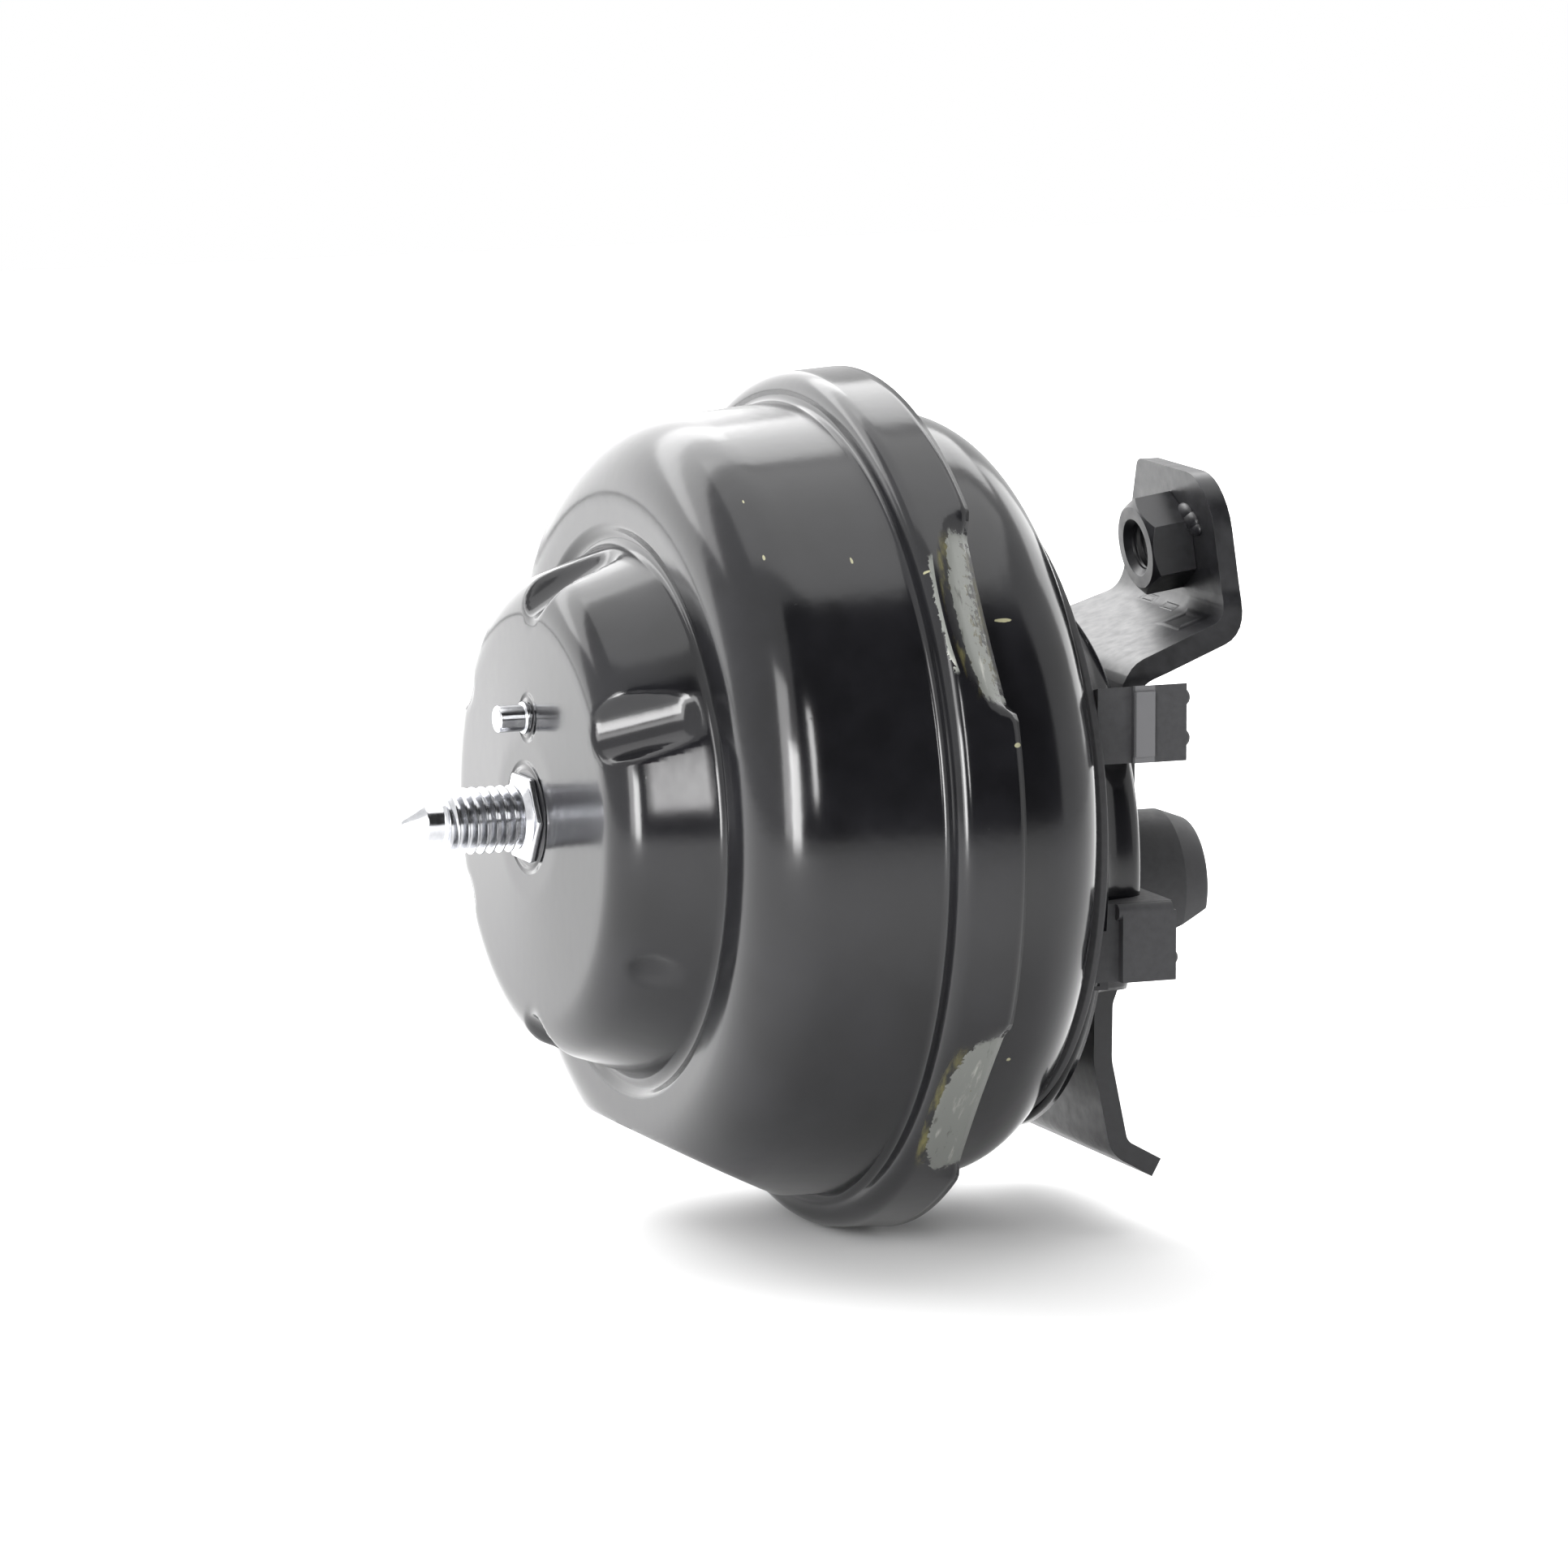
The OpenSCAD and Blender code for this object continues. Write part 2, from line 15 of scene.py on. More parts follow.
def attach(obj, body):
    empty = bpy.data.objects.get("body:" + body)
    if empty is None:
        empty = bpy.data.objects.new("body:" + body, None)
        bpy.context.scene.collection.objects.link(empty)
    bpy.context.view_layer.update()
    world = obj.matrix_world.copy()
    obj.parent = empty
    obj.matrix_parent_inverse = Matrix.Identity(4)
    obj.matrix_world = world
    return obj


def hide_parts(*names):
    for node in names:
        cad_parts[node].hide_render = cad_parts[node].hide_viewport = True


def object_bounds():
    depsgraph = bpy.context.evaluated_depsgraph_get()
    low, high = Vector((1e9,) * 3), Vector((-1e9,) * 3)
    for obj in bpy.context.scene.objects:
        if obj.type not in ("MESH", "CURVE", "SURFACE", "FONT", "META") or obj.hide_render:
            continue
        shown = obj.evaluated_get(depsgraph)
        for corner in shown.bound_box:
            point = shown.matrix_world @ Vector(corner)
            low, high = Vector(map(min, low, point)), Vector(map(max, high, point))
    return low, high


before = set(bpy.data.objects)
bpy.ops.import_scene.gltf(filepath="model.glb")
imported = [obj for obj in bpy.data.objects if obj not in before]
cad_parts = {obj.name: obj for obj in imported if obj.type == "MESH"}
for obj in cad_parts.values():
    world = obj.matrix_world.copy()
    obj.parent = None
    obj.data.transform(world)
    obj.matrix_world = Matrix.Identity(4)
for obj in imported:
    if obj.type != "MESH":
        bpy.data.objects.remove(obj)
cad_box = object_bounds()
MM = 0.001
print("nodes:", sorted(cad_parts))


# %% [markdown]
# ## The camera
# The photograph is taken with a long lens, a little above the mount and from
# its stud side. A camera far away with a narrow view keeps the same flat
# perspective. The view is 22 degrees round from square and 9 degrees down.

# %% Camera
# Width of the photograph, focal length and middle of the boss, in its pixels
PHOTO = 1932
FOCAL_PX = 13250
SEAT_PX = (649, 1007)
DISTANCE = 1.6
AZIMUTH = math.radians(-22)
ELEVATION = math.radians(9)
SENSOR = 36

forward = Vector((-math.sin(AZIMUTH) * math.cos(ELEVATION),
                  math.cos(AZIMUTH) * math.cos(ELEVATION),
                  -math.sin(ELEVATION)))
right = Vector((math.cos(AZIMUTH), math.sin(AZIMUTH), 0))
above = right.cross(forward)
aim = (right * (PHOTO / 2 - SEAT_PX[0]) - above * (PHOTO / 2 - SEAT_PX[1])) \
    * DISTANCE / FOCAL_PX

camera_data = bpy.data.cameras.new("camera")
camera_data.sensor_width = SENSOR
camera_data.lens = FOCAL_PX / PHOTO * SENSOR
camera_data.clip_end = 20
camera = bpy.data.objects.new("camera", camera_data)
bpy.context.scene.collection.objects.link(camera)
camera.matrix_world = Matrix.Translation(aim - forward * DISTANCE) @ \
    Matrix((right, above, -forward)).transposed().to_4x4()
bpy.context.scene.camera = camera
print("lens", round(camera_data.lens, 1), "mm")


# %% [markdown]
# ## Profiles
# A pressed part is a profile with bends. `bend` rounds the corners of a
# profile, and `fill` adds points between, so that marks can be pressed in
# afterwards by moving vertices.

# %% Profile helpers
def unit(v):
    return v / v.length


def bend(corners, radii, steps=10):
    """Path through the corners, each rounded with its own radius."""
    path = []
    for i, (corner, radius) in enumerate(zip(corners, radii)):
        b = Vector(corner)
        if radius == 0:
            path.append(b)
            continue
        u = unit(Vector(corners[i - 1]) - b)
        v = unit(Vector(corners[i + 1]) - b)
        half = u.angle(v) / 2
        centre = b + unit(u + v) * radius / math.sin(half)
        start = b + u * radius / math.tan(half) - centre
        turn = math.pi - 2 * half
        side = 1 if u.cross(v) < 0 else -1
        for k in range(steps + 1):
            a = side * turn * k / steps
            path.append(centre + Vector((
                start.x * math.cos(a) - start.y * math.sin(a),
                start.x * math.sin(a) + start.y * math.cos(a))))
    return path


def fill(path, gap):
    """The same path with no two points further apart than the gap."""
    full = [path[0]]
    for a, b in zip(path, path[1:]):
        n = max(1, math.ceil((b - a).length / gap))
        full += [a.lerp(b, k / n) for k in range(1, n + 1)]
    return full


# %% [markdown]
# ## Pieces
# `spin_profile` turns a profile round the mount's axis with the spin operator.
# Each finished mesh becomes a piece that rides on the mount's body, in the
# place of its solid if it has one, and a modifier gives a one-sided shell its
# thickness.

# %% Mesh helpers
def new_piece(name, bm, material, node=None):
    """Make a bmesh a piece that rides on the mount's one body."""
    mesh = bpy.data.meshes.new(name)
    bm.to_mesh(mesh)
    bm.free()
    piece = bpy.data.objects.new(name, mesh)
    bpy.context.scene.collection.objects.link(piece)
    mesh.materials.append(material)
    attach(piece, "root")
    if node:
        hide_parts(node)
    print(name, len(mesh.polygons), "faces")
    return piece


def spin_profile(path, steps=288, centre_z=0.0):
    """Turn a path of (radius, distance) in mm round the X axis."""
    bm = bmesh.new()
    verts = [bm.verts.new((p.y * MM, 0, p.x * MM)) for p in path]
    edges = [bm.edges.new(pair) for pair in zip(verts, verts[1:])]
    bmesh.ops.spin(bm, geom=verts + edges, cent=(0, 0, 0), axis=(1, 0, 0),
                   angle=math.tau, steps=steps, use_merge=True)
    bmesh.ops.remove_doubles(bm, verts=bm.verts, dist=1e-6)
    bmesh.ops.dissolve_degenerate(bm, dist=1e-7, edges=bm.edges)
    bmesh.ops.recalc_face_normals(bm, faces=bm.faces)
    bmesh.ops.translate(bm, verts=bm.verts, vec=(0, 0, centre_z * MM))
    return bm


def face_out(bm, probe):
    """Turn all faces so that the face nearest the probe looks away in -X."""
    near = min(bm.faces, key=lambda f: (f.calc_center_median() - probe).length)
    if near.normal.x > 0:
        bmesh.ops.reverse_faces(bm, faces=bm.faces)


def thicken(piece, mm):
    """Give a one-sided shell its sheet thickness, inward."""
    wall = piece.modifiers.new("sheet", "SOLIDIFY")
    wall.thickness = mm * MM
    wall.offset = -1
    wall.use_even_offset = False


def shade(piece, degrees=30):
    """Smooth shading that keeps edges sharper than the angle."""
    mesh = piece.data
    mesh.shade_smooth()
    bm = bmesh.new()
    bm.from_mesh(mesh)
    for edge in bm.edges:
        if len(edge.link_faces) == 2 and \
                edge.calc_face_angle(0) > math.radians(degrees):
            edge.smooth = False
    bm.to_mesh(mesh)
    bm.free()


# %% [markdown]
# ## Colours and nodes
# Colours are written as the hex values that a paint chart gives, and one
# function turns them to the linear numbers that the shader wants. Another
# adds a node. Each of the node's inputs gets a number, or a link from a
# socket, and the function hands back the socket that the next node needs.

# %% Colour and node helpers
def paint_hex(text):
    """sRGB hex to linear RGBA."""
    values = [int(text[i:i + 2], 16) / 255 for i in (0, 2, 4)]
    return tuple(v / 12.92 if v <= 0.04045 else ((v + 0.055) / 1.055) ** 2.4
                 for v in values) + (1.0,)


def grey(value):
    """A plain value written as a colour, for a colour ramp or a mix."""
    return (value, value, value, 1)


def add(tree, kind, settings, inputs, out=0, stops=()):
    """Add a node with its settings and links, and return one output."""
    node = tree.nodes.new(kind)
    for key, value in settings.items():
        setattr(node, key, value)
    for key, value in inputs.items():
        if isinstance(value, bpy.types.NodeSocket):
            tree.links.new(value, node.inputs[key])
        else:
            node.inputs[key].default_value = value
    # A colour ramp starts with two stops and gets the others in between
    for _ in stops[2:]:
        node.color_ramp.elements.new(0.5)
    for i, (where, colour) in enumerate(stops):
        node.color_ramp.elements[i].position = where
        node.color_ramp.elements[i].color = colour
    return node.outputs[out]


def new_material(name, values):
    """A Principled material with the given values."""
    material = bpy.data.materials.new(name)
    material.use_nodes = True
    shader = material.node_tree.nodes["Principled BSDF"]
    for key, value in values.items():
        shader.inputs[key].default_value = value
    return material


def feed(material, sockets):
    """Link sockets into the inputs of a material's shader."""
    tree = material.node_tree
    for key, socket in sockets.items():
        tree.links.new(socket, tree.nodes["Principled BSDF"].inputs[key])


def fed(material, key):
    """The socket that is linked into an input of a material's shader."""
    shader = material.node_tree.nodes["Principled BSDF"]
    return shader.inputs[key].links[0].from_socket


def mask(tree, *limits):
    """1 where each measure has gone from its first mm to its second.

    Each limit is a measure, where the mask is 0 and where it is 1.
    """
    shown = 1.0
    for measure, zero_at, one_at in limits:
        step = add(tree, "ShaderNodeMapRange",
                   {"interpolation_type": "SMOOTHSTEP"},
                   {"Value": measure, "From Min": zero_at * MM,
                    "From Max": one_at * MM})
        shown = add(tree, "ShaderNodeMath", {"operation": "MULTIPLY"},
                    {0: shown, 1: step})
    return shown


# %% [markdown]
# ## Gloss black dip paint
# The pot, the shell and the hub are pressed steel with a baked black dip
# paint. It is very smooth, with a faint orange peel a few millimetres wide and
# fine dust specks. Noise makes the peel, and the middles of Voronoi cells make
# the specks. Both only bend the light, so they cost no mesh.

# %% Dip paint
# Index of refraction of paint and of rubber
IOR = 1.5
BLACK = paint_hex("101012")
PAINT_THIN = paint_hex("1b1b1e")
PAINT_ROUGH = (0.13, 0.195)


def dip_paint(name):
    """Baked black dip paint: smooth, slightly wavy, with fine dust."""
    material = new_material(name, {"IOR": IOR})
    tree = material.node_tree
    place = add(tree, "ShaderNodeTexCoord", {}, {}, "Object")
    cloud = add(tree, "ShaderNodeTexNoise", {},
                {"Vector": place, "Scale": 60.0, "Detail": 3.0,
                 "Roughness": 0.6})
    tone = add(tree, "ShaderNodeValToRGB", {}, {"Fac": cloud},
               stops=[(0.35, BLACK), (0.75, PAINT_THIN)])
    gloss = add(tree, "ShaderNodeValToRGB", {}, {"Fac": cloud},
                stops=[(0.3, grey(PAINT_ROUGH[0])),
                       (0.8, grey(PAINT_ROUGH[1]))])
    # Orange peel, about 2 mm from crest to crest
    peel = add(tree, "ShaderNodeTexNoise", {},
               {"Vector": place, "Scale": 420.0, "Detail": 1.0})
    dust = add(tree, "ShaderNodeTexVoronoi", {},
               {"Vector": place, "Scale": 260.0})
    speck = add(tree, "ShaderNodeValToRGB", {}, {"Fac": dust},
                stops=[(0.03, grey(1)), (0.06, grey(0))])
    height = add(tree, "ShaderNodeMath", {"operation": "MULTIPLY_ADD"},
                 {0: speck, 1: 0.5, 2: peel})
    bump = add(tree, "ShaderNodeBump", {},
               {"Height": height, "Strength": 0.05, "Distance": 0.2 * MM})
    feed(material, {"Base Color": tone, "Roughness": gloss, "Normal": bump})
    return material


# %% [markdown]
# ## Chips
# A knock takes the paint off down to pale steel. Each chip is a small
# ellipsoid on the surface, and noise added to its edge makes it ragged.

# %% Chips in the gloss paint
CHIP_TONE = paint_hex("8f8d72")
CHIP_DEPTH = 1.2
# The noise is about 0.5, so the edge lies near 0.9 of the chip's size
CHIP_EDGE = 1.4
# Distance along the axis, angle up from the near side, radius,
# and half sizes along the axis and round it
SHELL_CHIPS = [(56.6, 34.6, 57.9, 1.5, 0.35), (57.5, -34.0, 57.9, 0.35, 0.35)]
POT_CHIPS = [(43.6, 39.8, 64.3, 0.9, 0.3), (22.5, 47.9, 57.2, 0.2, 0.6),
             (23.0, 59.5, 57.2, 0.18, 0.6), (52.5, 15.0, 64.9, 0.5, 0.4),
             (35.0, 45.1, 59.2, 0.25, 0.6)]


def chip_paint(material, chips):
    """Small chips through the paint to the pale steel."""
    tree = material.node_tree
    place = add(tree, "ShaderNodeTexCoord", {}, {}, "Object")
    grit = add(tree, "ShaderNodeTexNoise", {},
               {"Vector": place, "Scale": 1400.0, "Detail": 3.0})
    tone = fed(material, "Base Color")
    for along, degrees, radius, half_along, half_round in chips:
        a = math.radians(degrees)
        centre = (along, -radius * math.cos(a), radius * math.sin(a))
        half = (half_along, half_round, CHIP_DEPTH)
        local = add(tree, "ShaderNodeMapping", {"vector_type": "TEXTURE"},
                    {"Vector": place, "Location": Vector(centre) * MM,
                     "Rotation": (math.radians(90 - degrees), 0, 0),
                     "Scale": Vector(half) * MM})
        reach = add(tree, "ShaderNodeVectorMath", {"operation": "LENGTH"},
                    {0: local}, "Value")
        ragged = add(tree, "ShaderNodeMath", {"operation": "ADD"},
                     {0: reach, 1: grit})
        chip = add(tree, "ShaderNodeMath", {"operation": "LESS_THAN"},
                   {0: ragged, 1: CHIP_EDGE})
        tone = add(tree, "ShaderNodeMix", {"data_type": "RGBA"},
                   {"Factor": chip, 6: tone, 7: CHIP_TONE}, 2)
    feed(material, {"Base Color": tone})


gloss_black = dip_paint("gloss_black_dip_paint")
chip_paint(gloss_black, SHELL_CHIPS)
print(gloss_black.name, "with", len(SHELL_CHIPS), "chips")


# %% [markdown]
# ## Scraped paint
# Where the crimping tool bit the skirt, the paint is scraped off down to grey
# steel with a ragged olive edge. An image would need unwrapping, so the scrapes
# are worked out from the planes of the crimps instead: a point is bare where it
# lies on a crimp's flat. The same planes press the flats into the mesh below,
# so that paint and shape agree.

# %% Masks of the crimping scrapes
RIM_R = 64.9
# Angle of a crimp's middle, where its flat starts, and the flat's slope
CRIMPS = [(33.5, 46.0, 31.0), (-37.5, 42.9, 16.5),
          (146.5, 46.0, 31.0), (-142.5, 42.9, 16.5)]
# Only a flat steeper than this has a second scrape, a narrow strip
STEEP = 20
# Where each mask is 0 and where it is 1, in mm off the flat and sideways
BARE_OFF = (-0.28, -0.22)
BARE_SIDE = (14.2, 13)
STRIP_LOWER = (-2.3, -2.2)
STRIP_UPPER = (-1.6, -1.65)
STRIP_SIDE = (10, 8.5)
SMEAR_OFF = (-1.3, -0.8)
SMEAR_SIDE = (14, 9)
# Lengths of the teeth that the noise gives to the edges
SIDE_TEETH = 3
BARE_TEETH = 0.8
STRIP_TEETH = 2.4


def crimp_plane(middle, start, slope):
    """Normal of a crimp's flat, its distance, and the sideways direction."""
    a = math.radians(middle)
    lean = math.tan(math.radians(slope))
    return (Vector((lean, -math.cos(a), math.sin(a))), RIM_R + lean * start,
            Vector((0, math.sin(a), math.cos(a))))


def crimp_scrapes(tree, place):
    """Masks of the bare steel and of the olive smear round it."""
    grain = add(tree, "ShaderNodeTexNoise", {},
                {"Vector": place, "Scale": 900.0, "Detail": 4.0,
                 "Roughness": 0.7})
    teeth = add(tree, "ShaderNodeMath", {"operation": "MULTIPLY_ADD"},
                {0: grain, 1: MM, 2: -0.5 * MM})
    bare = smear = 0.0
    for middle, start, slope in CRIMPS:
        normal, distance, sideways = crimp_plane(middle, start, slope)
        out = add(tree, "ShaderNodeVectorMath",
                  {"operation": "DOT_PRODUCT"}, {0: place, 1: normal}, "Value")
        over = add(tree, "ShaderNodeMath", {"operation": "SUBTRACT"},
                   {0: out, 1: distance * MM})
        across = add(tree, "ShaderNodeVectorMath",
                     {"operation": "DOT_PRODUCT"}, {0: place, 1: sideways},
                     "Value")
        side = add(tree, "ShaderNodeMath", {"operation": "ABSOLUTE"},
                   {0: across})
        near, edge, rag = [
            add(tree, "ShaderNodeMath", {"operation": "MULTIPLY_ADD"},
                {0: teeth, 1: length, 2: straight})
            for length, straight in ((SIDE_TEETH, side), (BARE_TEETH, over),
                                     (STRIP_TEETH, over))]
        scrapes = [mask(tree, (edge, *BARE_OFF), (near, *BARE_SIDE))]
        if slope > STEEP:
            scrapes.append(mask(tree, (rag, *STRIP_LOWER),
                                (over, *STRIP_UPPER), (near, *STRIP_SIDE)))
        for scrape in scrapes:
            bare = add(tree, "ShaderNodeMath", {"operation": "MAXIMUM"},
                       {0: bare, 1: scrape})
        brown = mask(tree, (over, *SMEAR_OFF), (near, *SMEAR_SIDE))
        smear = add(tree, "ShaderNodeMath", {"operation": "MAXIMUM"},
                    {0: smear, 1: brown})
    return bare, smear


# %% [markdown]
# ## Rings pressed round the stud and the pin
# The tool that sets the stud and the pin leaves a shallow ring round each. They
# are far too shallow to change the outline, so a bump map draws them.

# %% Height of the pressed rings
# Height of a ring's middle above the axis, and its radius
RINGS = [(0, 7.9), (15, 3.1)]
RING_HALF = 0.8
RING_DEPTH = 0.3


def ring_height(tree, place):
    """0 at the bottom of a pressed ring, and 1 away from it."""
    height = 1.0
    for up, radius in RINGS:
        # The distance along the axis doesn't count
        flat = add(tree, "ShaderNodeVectorMath",
                   {"operation": "MULTIPLY_ADD"},
                   {0: place, 1: (0, 1, 1), 2: (0, 0, -up * MM)})
        far = add(tree, "ShaderNodeVectorMath", {"operation": "LENGTH"},
                  {0: flat}, "Value")
        off = add(tree, "ShaderNodeMath", {"operation": "SUBTRACT"},
                  {0: far, 1: radius * MM})
        gap = add(tree, "ShaderNodeMath", {"operation": "ABSOLUTE"}, {0: off})
        height = add(tree, "ShaderNodeMath", {"operation": "MINIMUM"},
                     {0: height, 1: mask(tree, (gap, 0, RING_HALF))})
    return height


# %% [markdown]
# ## The pot's paint
# The pot has the gloss paint with its chips, scrapes and rings. Steel shows
# where the tool slid, pale along its path and dark in small pits. The noise
# for it is stretched round the axis, because the tool drags the steel that way.

# %% Paint of the pot
BARE_STEEL = paint_hex("7b7d79")
PALE_STEEL = paint_hex("a3a49d")
DARK_PIT = paint_hex("4a4b45")
OLIVE_EDGE = paint_hex("57532f")
DRAG = (1, 0.25, 0.25)
STEEL_METALLIC = 0.7
SMEAR_WEAR = 0.7
WORN_ROUGH = 0.5


def scraped_paint():
    """The pot's paint, scraped to bare steel on the crimped flats."""
    material = dip_paint("gloss_black_dip_paint_scraped")
    chip_paint(material, POT_CHIPS)
    tree = material.node_tree
    place = add(tree, "ShaderNodeTexCoord", {}, {}, "Object")
    bare, smear = crimp_scrapes(tree, place)
    drag = add(tree, "ShaderNodeMapping", {}, {"Vector": place, "Scale": DRAG})
    cloud = add(tree, "ShaderNodeTexNoise", {},
                {"Vector": drag, "Scale": 480.0, "Detail": 6.0,
                 "Roughness": 0.65})
    steel = add(tree, "ShaderNodeValToRGB", {}, {"Fac": cloud},
                stops=[(0.28, DARK_PIT), (0.38, BARE_STEEL),
                       (0.58, BARE_STEEL), (0.70, PALE_STEEL)])
    olive = add(tree, "ShaderNodeValToRGB", {}, {"Fac": cloud},
                stops=[(0.45, BLACK), (0.62, OLIVE_EDGE)])
    smeared = add(tree, "ShaderNodeMix", {"data_type": "RGBA"},
                  {"Factor": smear, 6: fed(material, "Base Color"), 7: olive},
                  2)
    colour = add(tree, "ShaderNodeMix", {"data_type": "RGBA"},
                 {"Factor": bare, 6: smeared, 7: steel}, 2)
    metallic = add(tree, "ShaderNodeMath", {"operation": "MULTIPLY"},
                   {0: bare, 1: STEEL_METALLIC})
    dulled = add(tree, "ShaderNodeMath", {"operation": "MULTIPLY"},
                 {0: smear, 1: SMEAR_WEAR})
    worn = add(tree, "ShaderNodeMath", {"operation": "MAXIMUM"},
               {0: bare, 1: dulled})
    rough = add(tree, "ShaderNodeMix", {"data_type": "RGBA"},
                {"Factor": worn, 6: fed(material, "Roughness"),
                 7: grey(WORN_ROUGH)}, 2)
    rings = add(tree, "ShaderNodeBump", {},
                {"Height": ring_height(tree, place), "Strength": 1.0,
                 "Distance": RING_DEPTH * MM,
                 "Normal": fed(material, "Normal")})
    feed(material, {"Base Color": colour, "Metallic": metallic,
                    "Roughness": rough, "Normal": rings})
    return material


scraped_black = scraped_paint()
print(scraped_black.name, "with", len(scraped_black.node_tree.nodes), "nodes")


# %% [markdown]
# ## Satin paint, zinc, rubber and plain steel
# The bracket and its nut have the same dip paint on rougher hot-rolled sheet,
# so it looks satin. The stud and the pin are bright zinc plated, and the stops
# and seals are moulded rubber, dull with a fine mould texture. All of them are
# two close tones and a roughness range over one noise, so one function makes
# them.

# %% Finishes with one grain
def grained(name, tones, scale, dull, bump_mm, metallic=0.0):
    """A finish with two close tones, one grain and one roughness range."""
    material = new_material(name, {"Metallic": metallic, "IOR": IOR})
    tree = material.node_tree
    place = add(tree, "ShaderNodeTexCoord", {}, {}, "Object")
    grain = add(tree, "ShaderNodeTexNoise", {},
                {"Vector": place, "Scale": scale, "Detail": 4.0,
                 "Roughness": 0.6})
    tone = add(tree, "ShaderNodeValToRGB", {}, {"Fac": grain},
               stops=[(0.3, paint_hex(tones[0])), (0.7, paint_hex(tones[1]))])
    rough = add(tree, "ShaderNodeValToRGB", {}, {"Fac": grain},
                stops=[(0.3, grey(dull[0])), (0.7, grey(dull[1]))])
    bump = add(tree, "ShaderNodeBump", {},
               {"Height": grain, "Strength": 0.4, "Distance": bump_mm * MM})
    feed(material, {"Base Color": tone, "Roughness": rough, "Normal": bump})
    return material


SATIN_TONES = ("131315", "1f1f22")
RUBBER_TONES = ("262628", "333335")
satin_black = grained("satin_black_dip_paint", SATIN_TONES, 500,
                      (0.32, 0.44), 0.03)
bright_zinc = grained("bright_zinc_plate", ("c6c7cb", "dcdde0"), 700,
                      (0.16, 0.22), 0.001, metallic=1.0)
moulded_rubber = grained("moulded_rubber", RUBBER_TONES, 900,
                         (0.55, 0.7), 0.03)
plain_steel = grained("plain_rolled_steel", ("7c7f83", "96999d"), 400,
                      (0.35, 0.5), 0.02, metallic=1.0)
dark_bolt = grained("phosphated_steel", ("3a3b3d", "4b4c4e"), 600,
                    (0.4, 0.55), 0.02, metallic=0.8)
for finish in (satin_black, bright_zinc, moulded_rubber, plain_steel,
               dark_bolt):
    print("finish:", finish.name)


# %% [markdown]
# ## Marks pressed in the bracket's arm
# The press left three shallow oblong rings in the arm. Each is drawn as a rim
# round a small box that lies in the plane of the arm, and a bump map lifts it.

# %% Paint of the bracket
ARM_RISE = math.radians(17.9)
# Middle and half sizes of each mark
MARKS = [((100.6, -13.5, 26.4), (2.6, 3.9, 2)),
         ((102.6, -4.0, 27.0), (0.7, 2.2, 2)),
         ((103.0, 4.5, 27.2), (0.7, 2.6, 2))]
MARK_HEIGHT = 0.1
# As shares of a mark's half size
RIDGE_AT = 0.8
RIDGE_HALF = 0.35


def bracket_paint():
    """Satin paint with the three marks pressed into the bracket's arm."""
    material = grained("satin_black_dip_paint_pressed", SATIN_TONES, 500,
                       (0.32, 0.44), 0.03)
    tree = material.node_tree
    place = add(tree, "ShaderNodeTexCoord", {}, {}, "Object")
    height = 0.0
    for centre, half in MARKS:
        local = add(tree, "ShaderNodeMapping", {"vector_type": "TEXTURE"},
                    {"Vector": place, "Location": Vector(centre) * MM,
                     "Rotation": (0, -ARM_RISE, 0),
                     "Scale": Vector(half) * MM})
        box = add(tree, "ShaderNodeVectorMath", {"operation": "ABSOLUTE"},
                  {0: local})
        reach = 0.0
        for axis in "XYZ":
            side = add(tree, "ShaderNodeSeparateXYZ", {}, {0: box}, axis)
            reach = add(tree, "ShaderNodeMath", {"operation": "MAXIMUM"},
                        {0: reach, 1: side})
        off = add(tree, "ShaderNodeMath", {"operation": "SUBTRACT"},
                  {0: reach, 1: RIDGE_AT})
        gap = add(tree, "ShaderNodeMath", {"operation": "ABSOLUTE"}, {0: off})
        ridge = add(tree, "ShaderNodeMapRange",
                    {"interpolation_type": "SMOOTHSTEP"},
                    {"Value": gap, "From Min": RIDGE_HALF, "From Max": 0.0})
        height = add(tree, "ShaderNodeMath", {"operation": "MAXIMUM"},
                     {0: height, 1: ridge})
    marks = add(tree, "ShaderNodeBump", {},
                {"Height": height, "Strength": 1.0,
                 "Distance": MARK_HEIGHT * MM,
                 "Normal": fed(material, "Normal")})
    feed(material, {"Normal": marks})
    return material


bracket_black = bracket_paint()
print(bracket_black.name, "with", len(MARKS), "marks")


# %% [markdown]
# ## The nut's thread
# The nut on the ear has an M8 thread, of which only the mouth is seen. A wave
# along the bore, kept inside the bore's radius, is enough for its grooves.

# %% Paint of the nut
NUT_AT = Vector((100.6, -4.7, 36.7))
EAR_LEAN = math.radians(8)
NUT_PITCH = 1.25
NUT_BORE_R = 3.5
GROOVE_DEPTH = 0.25


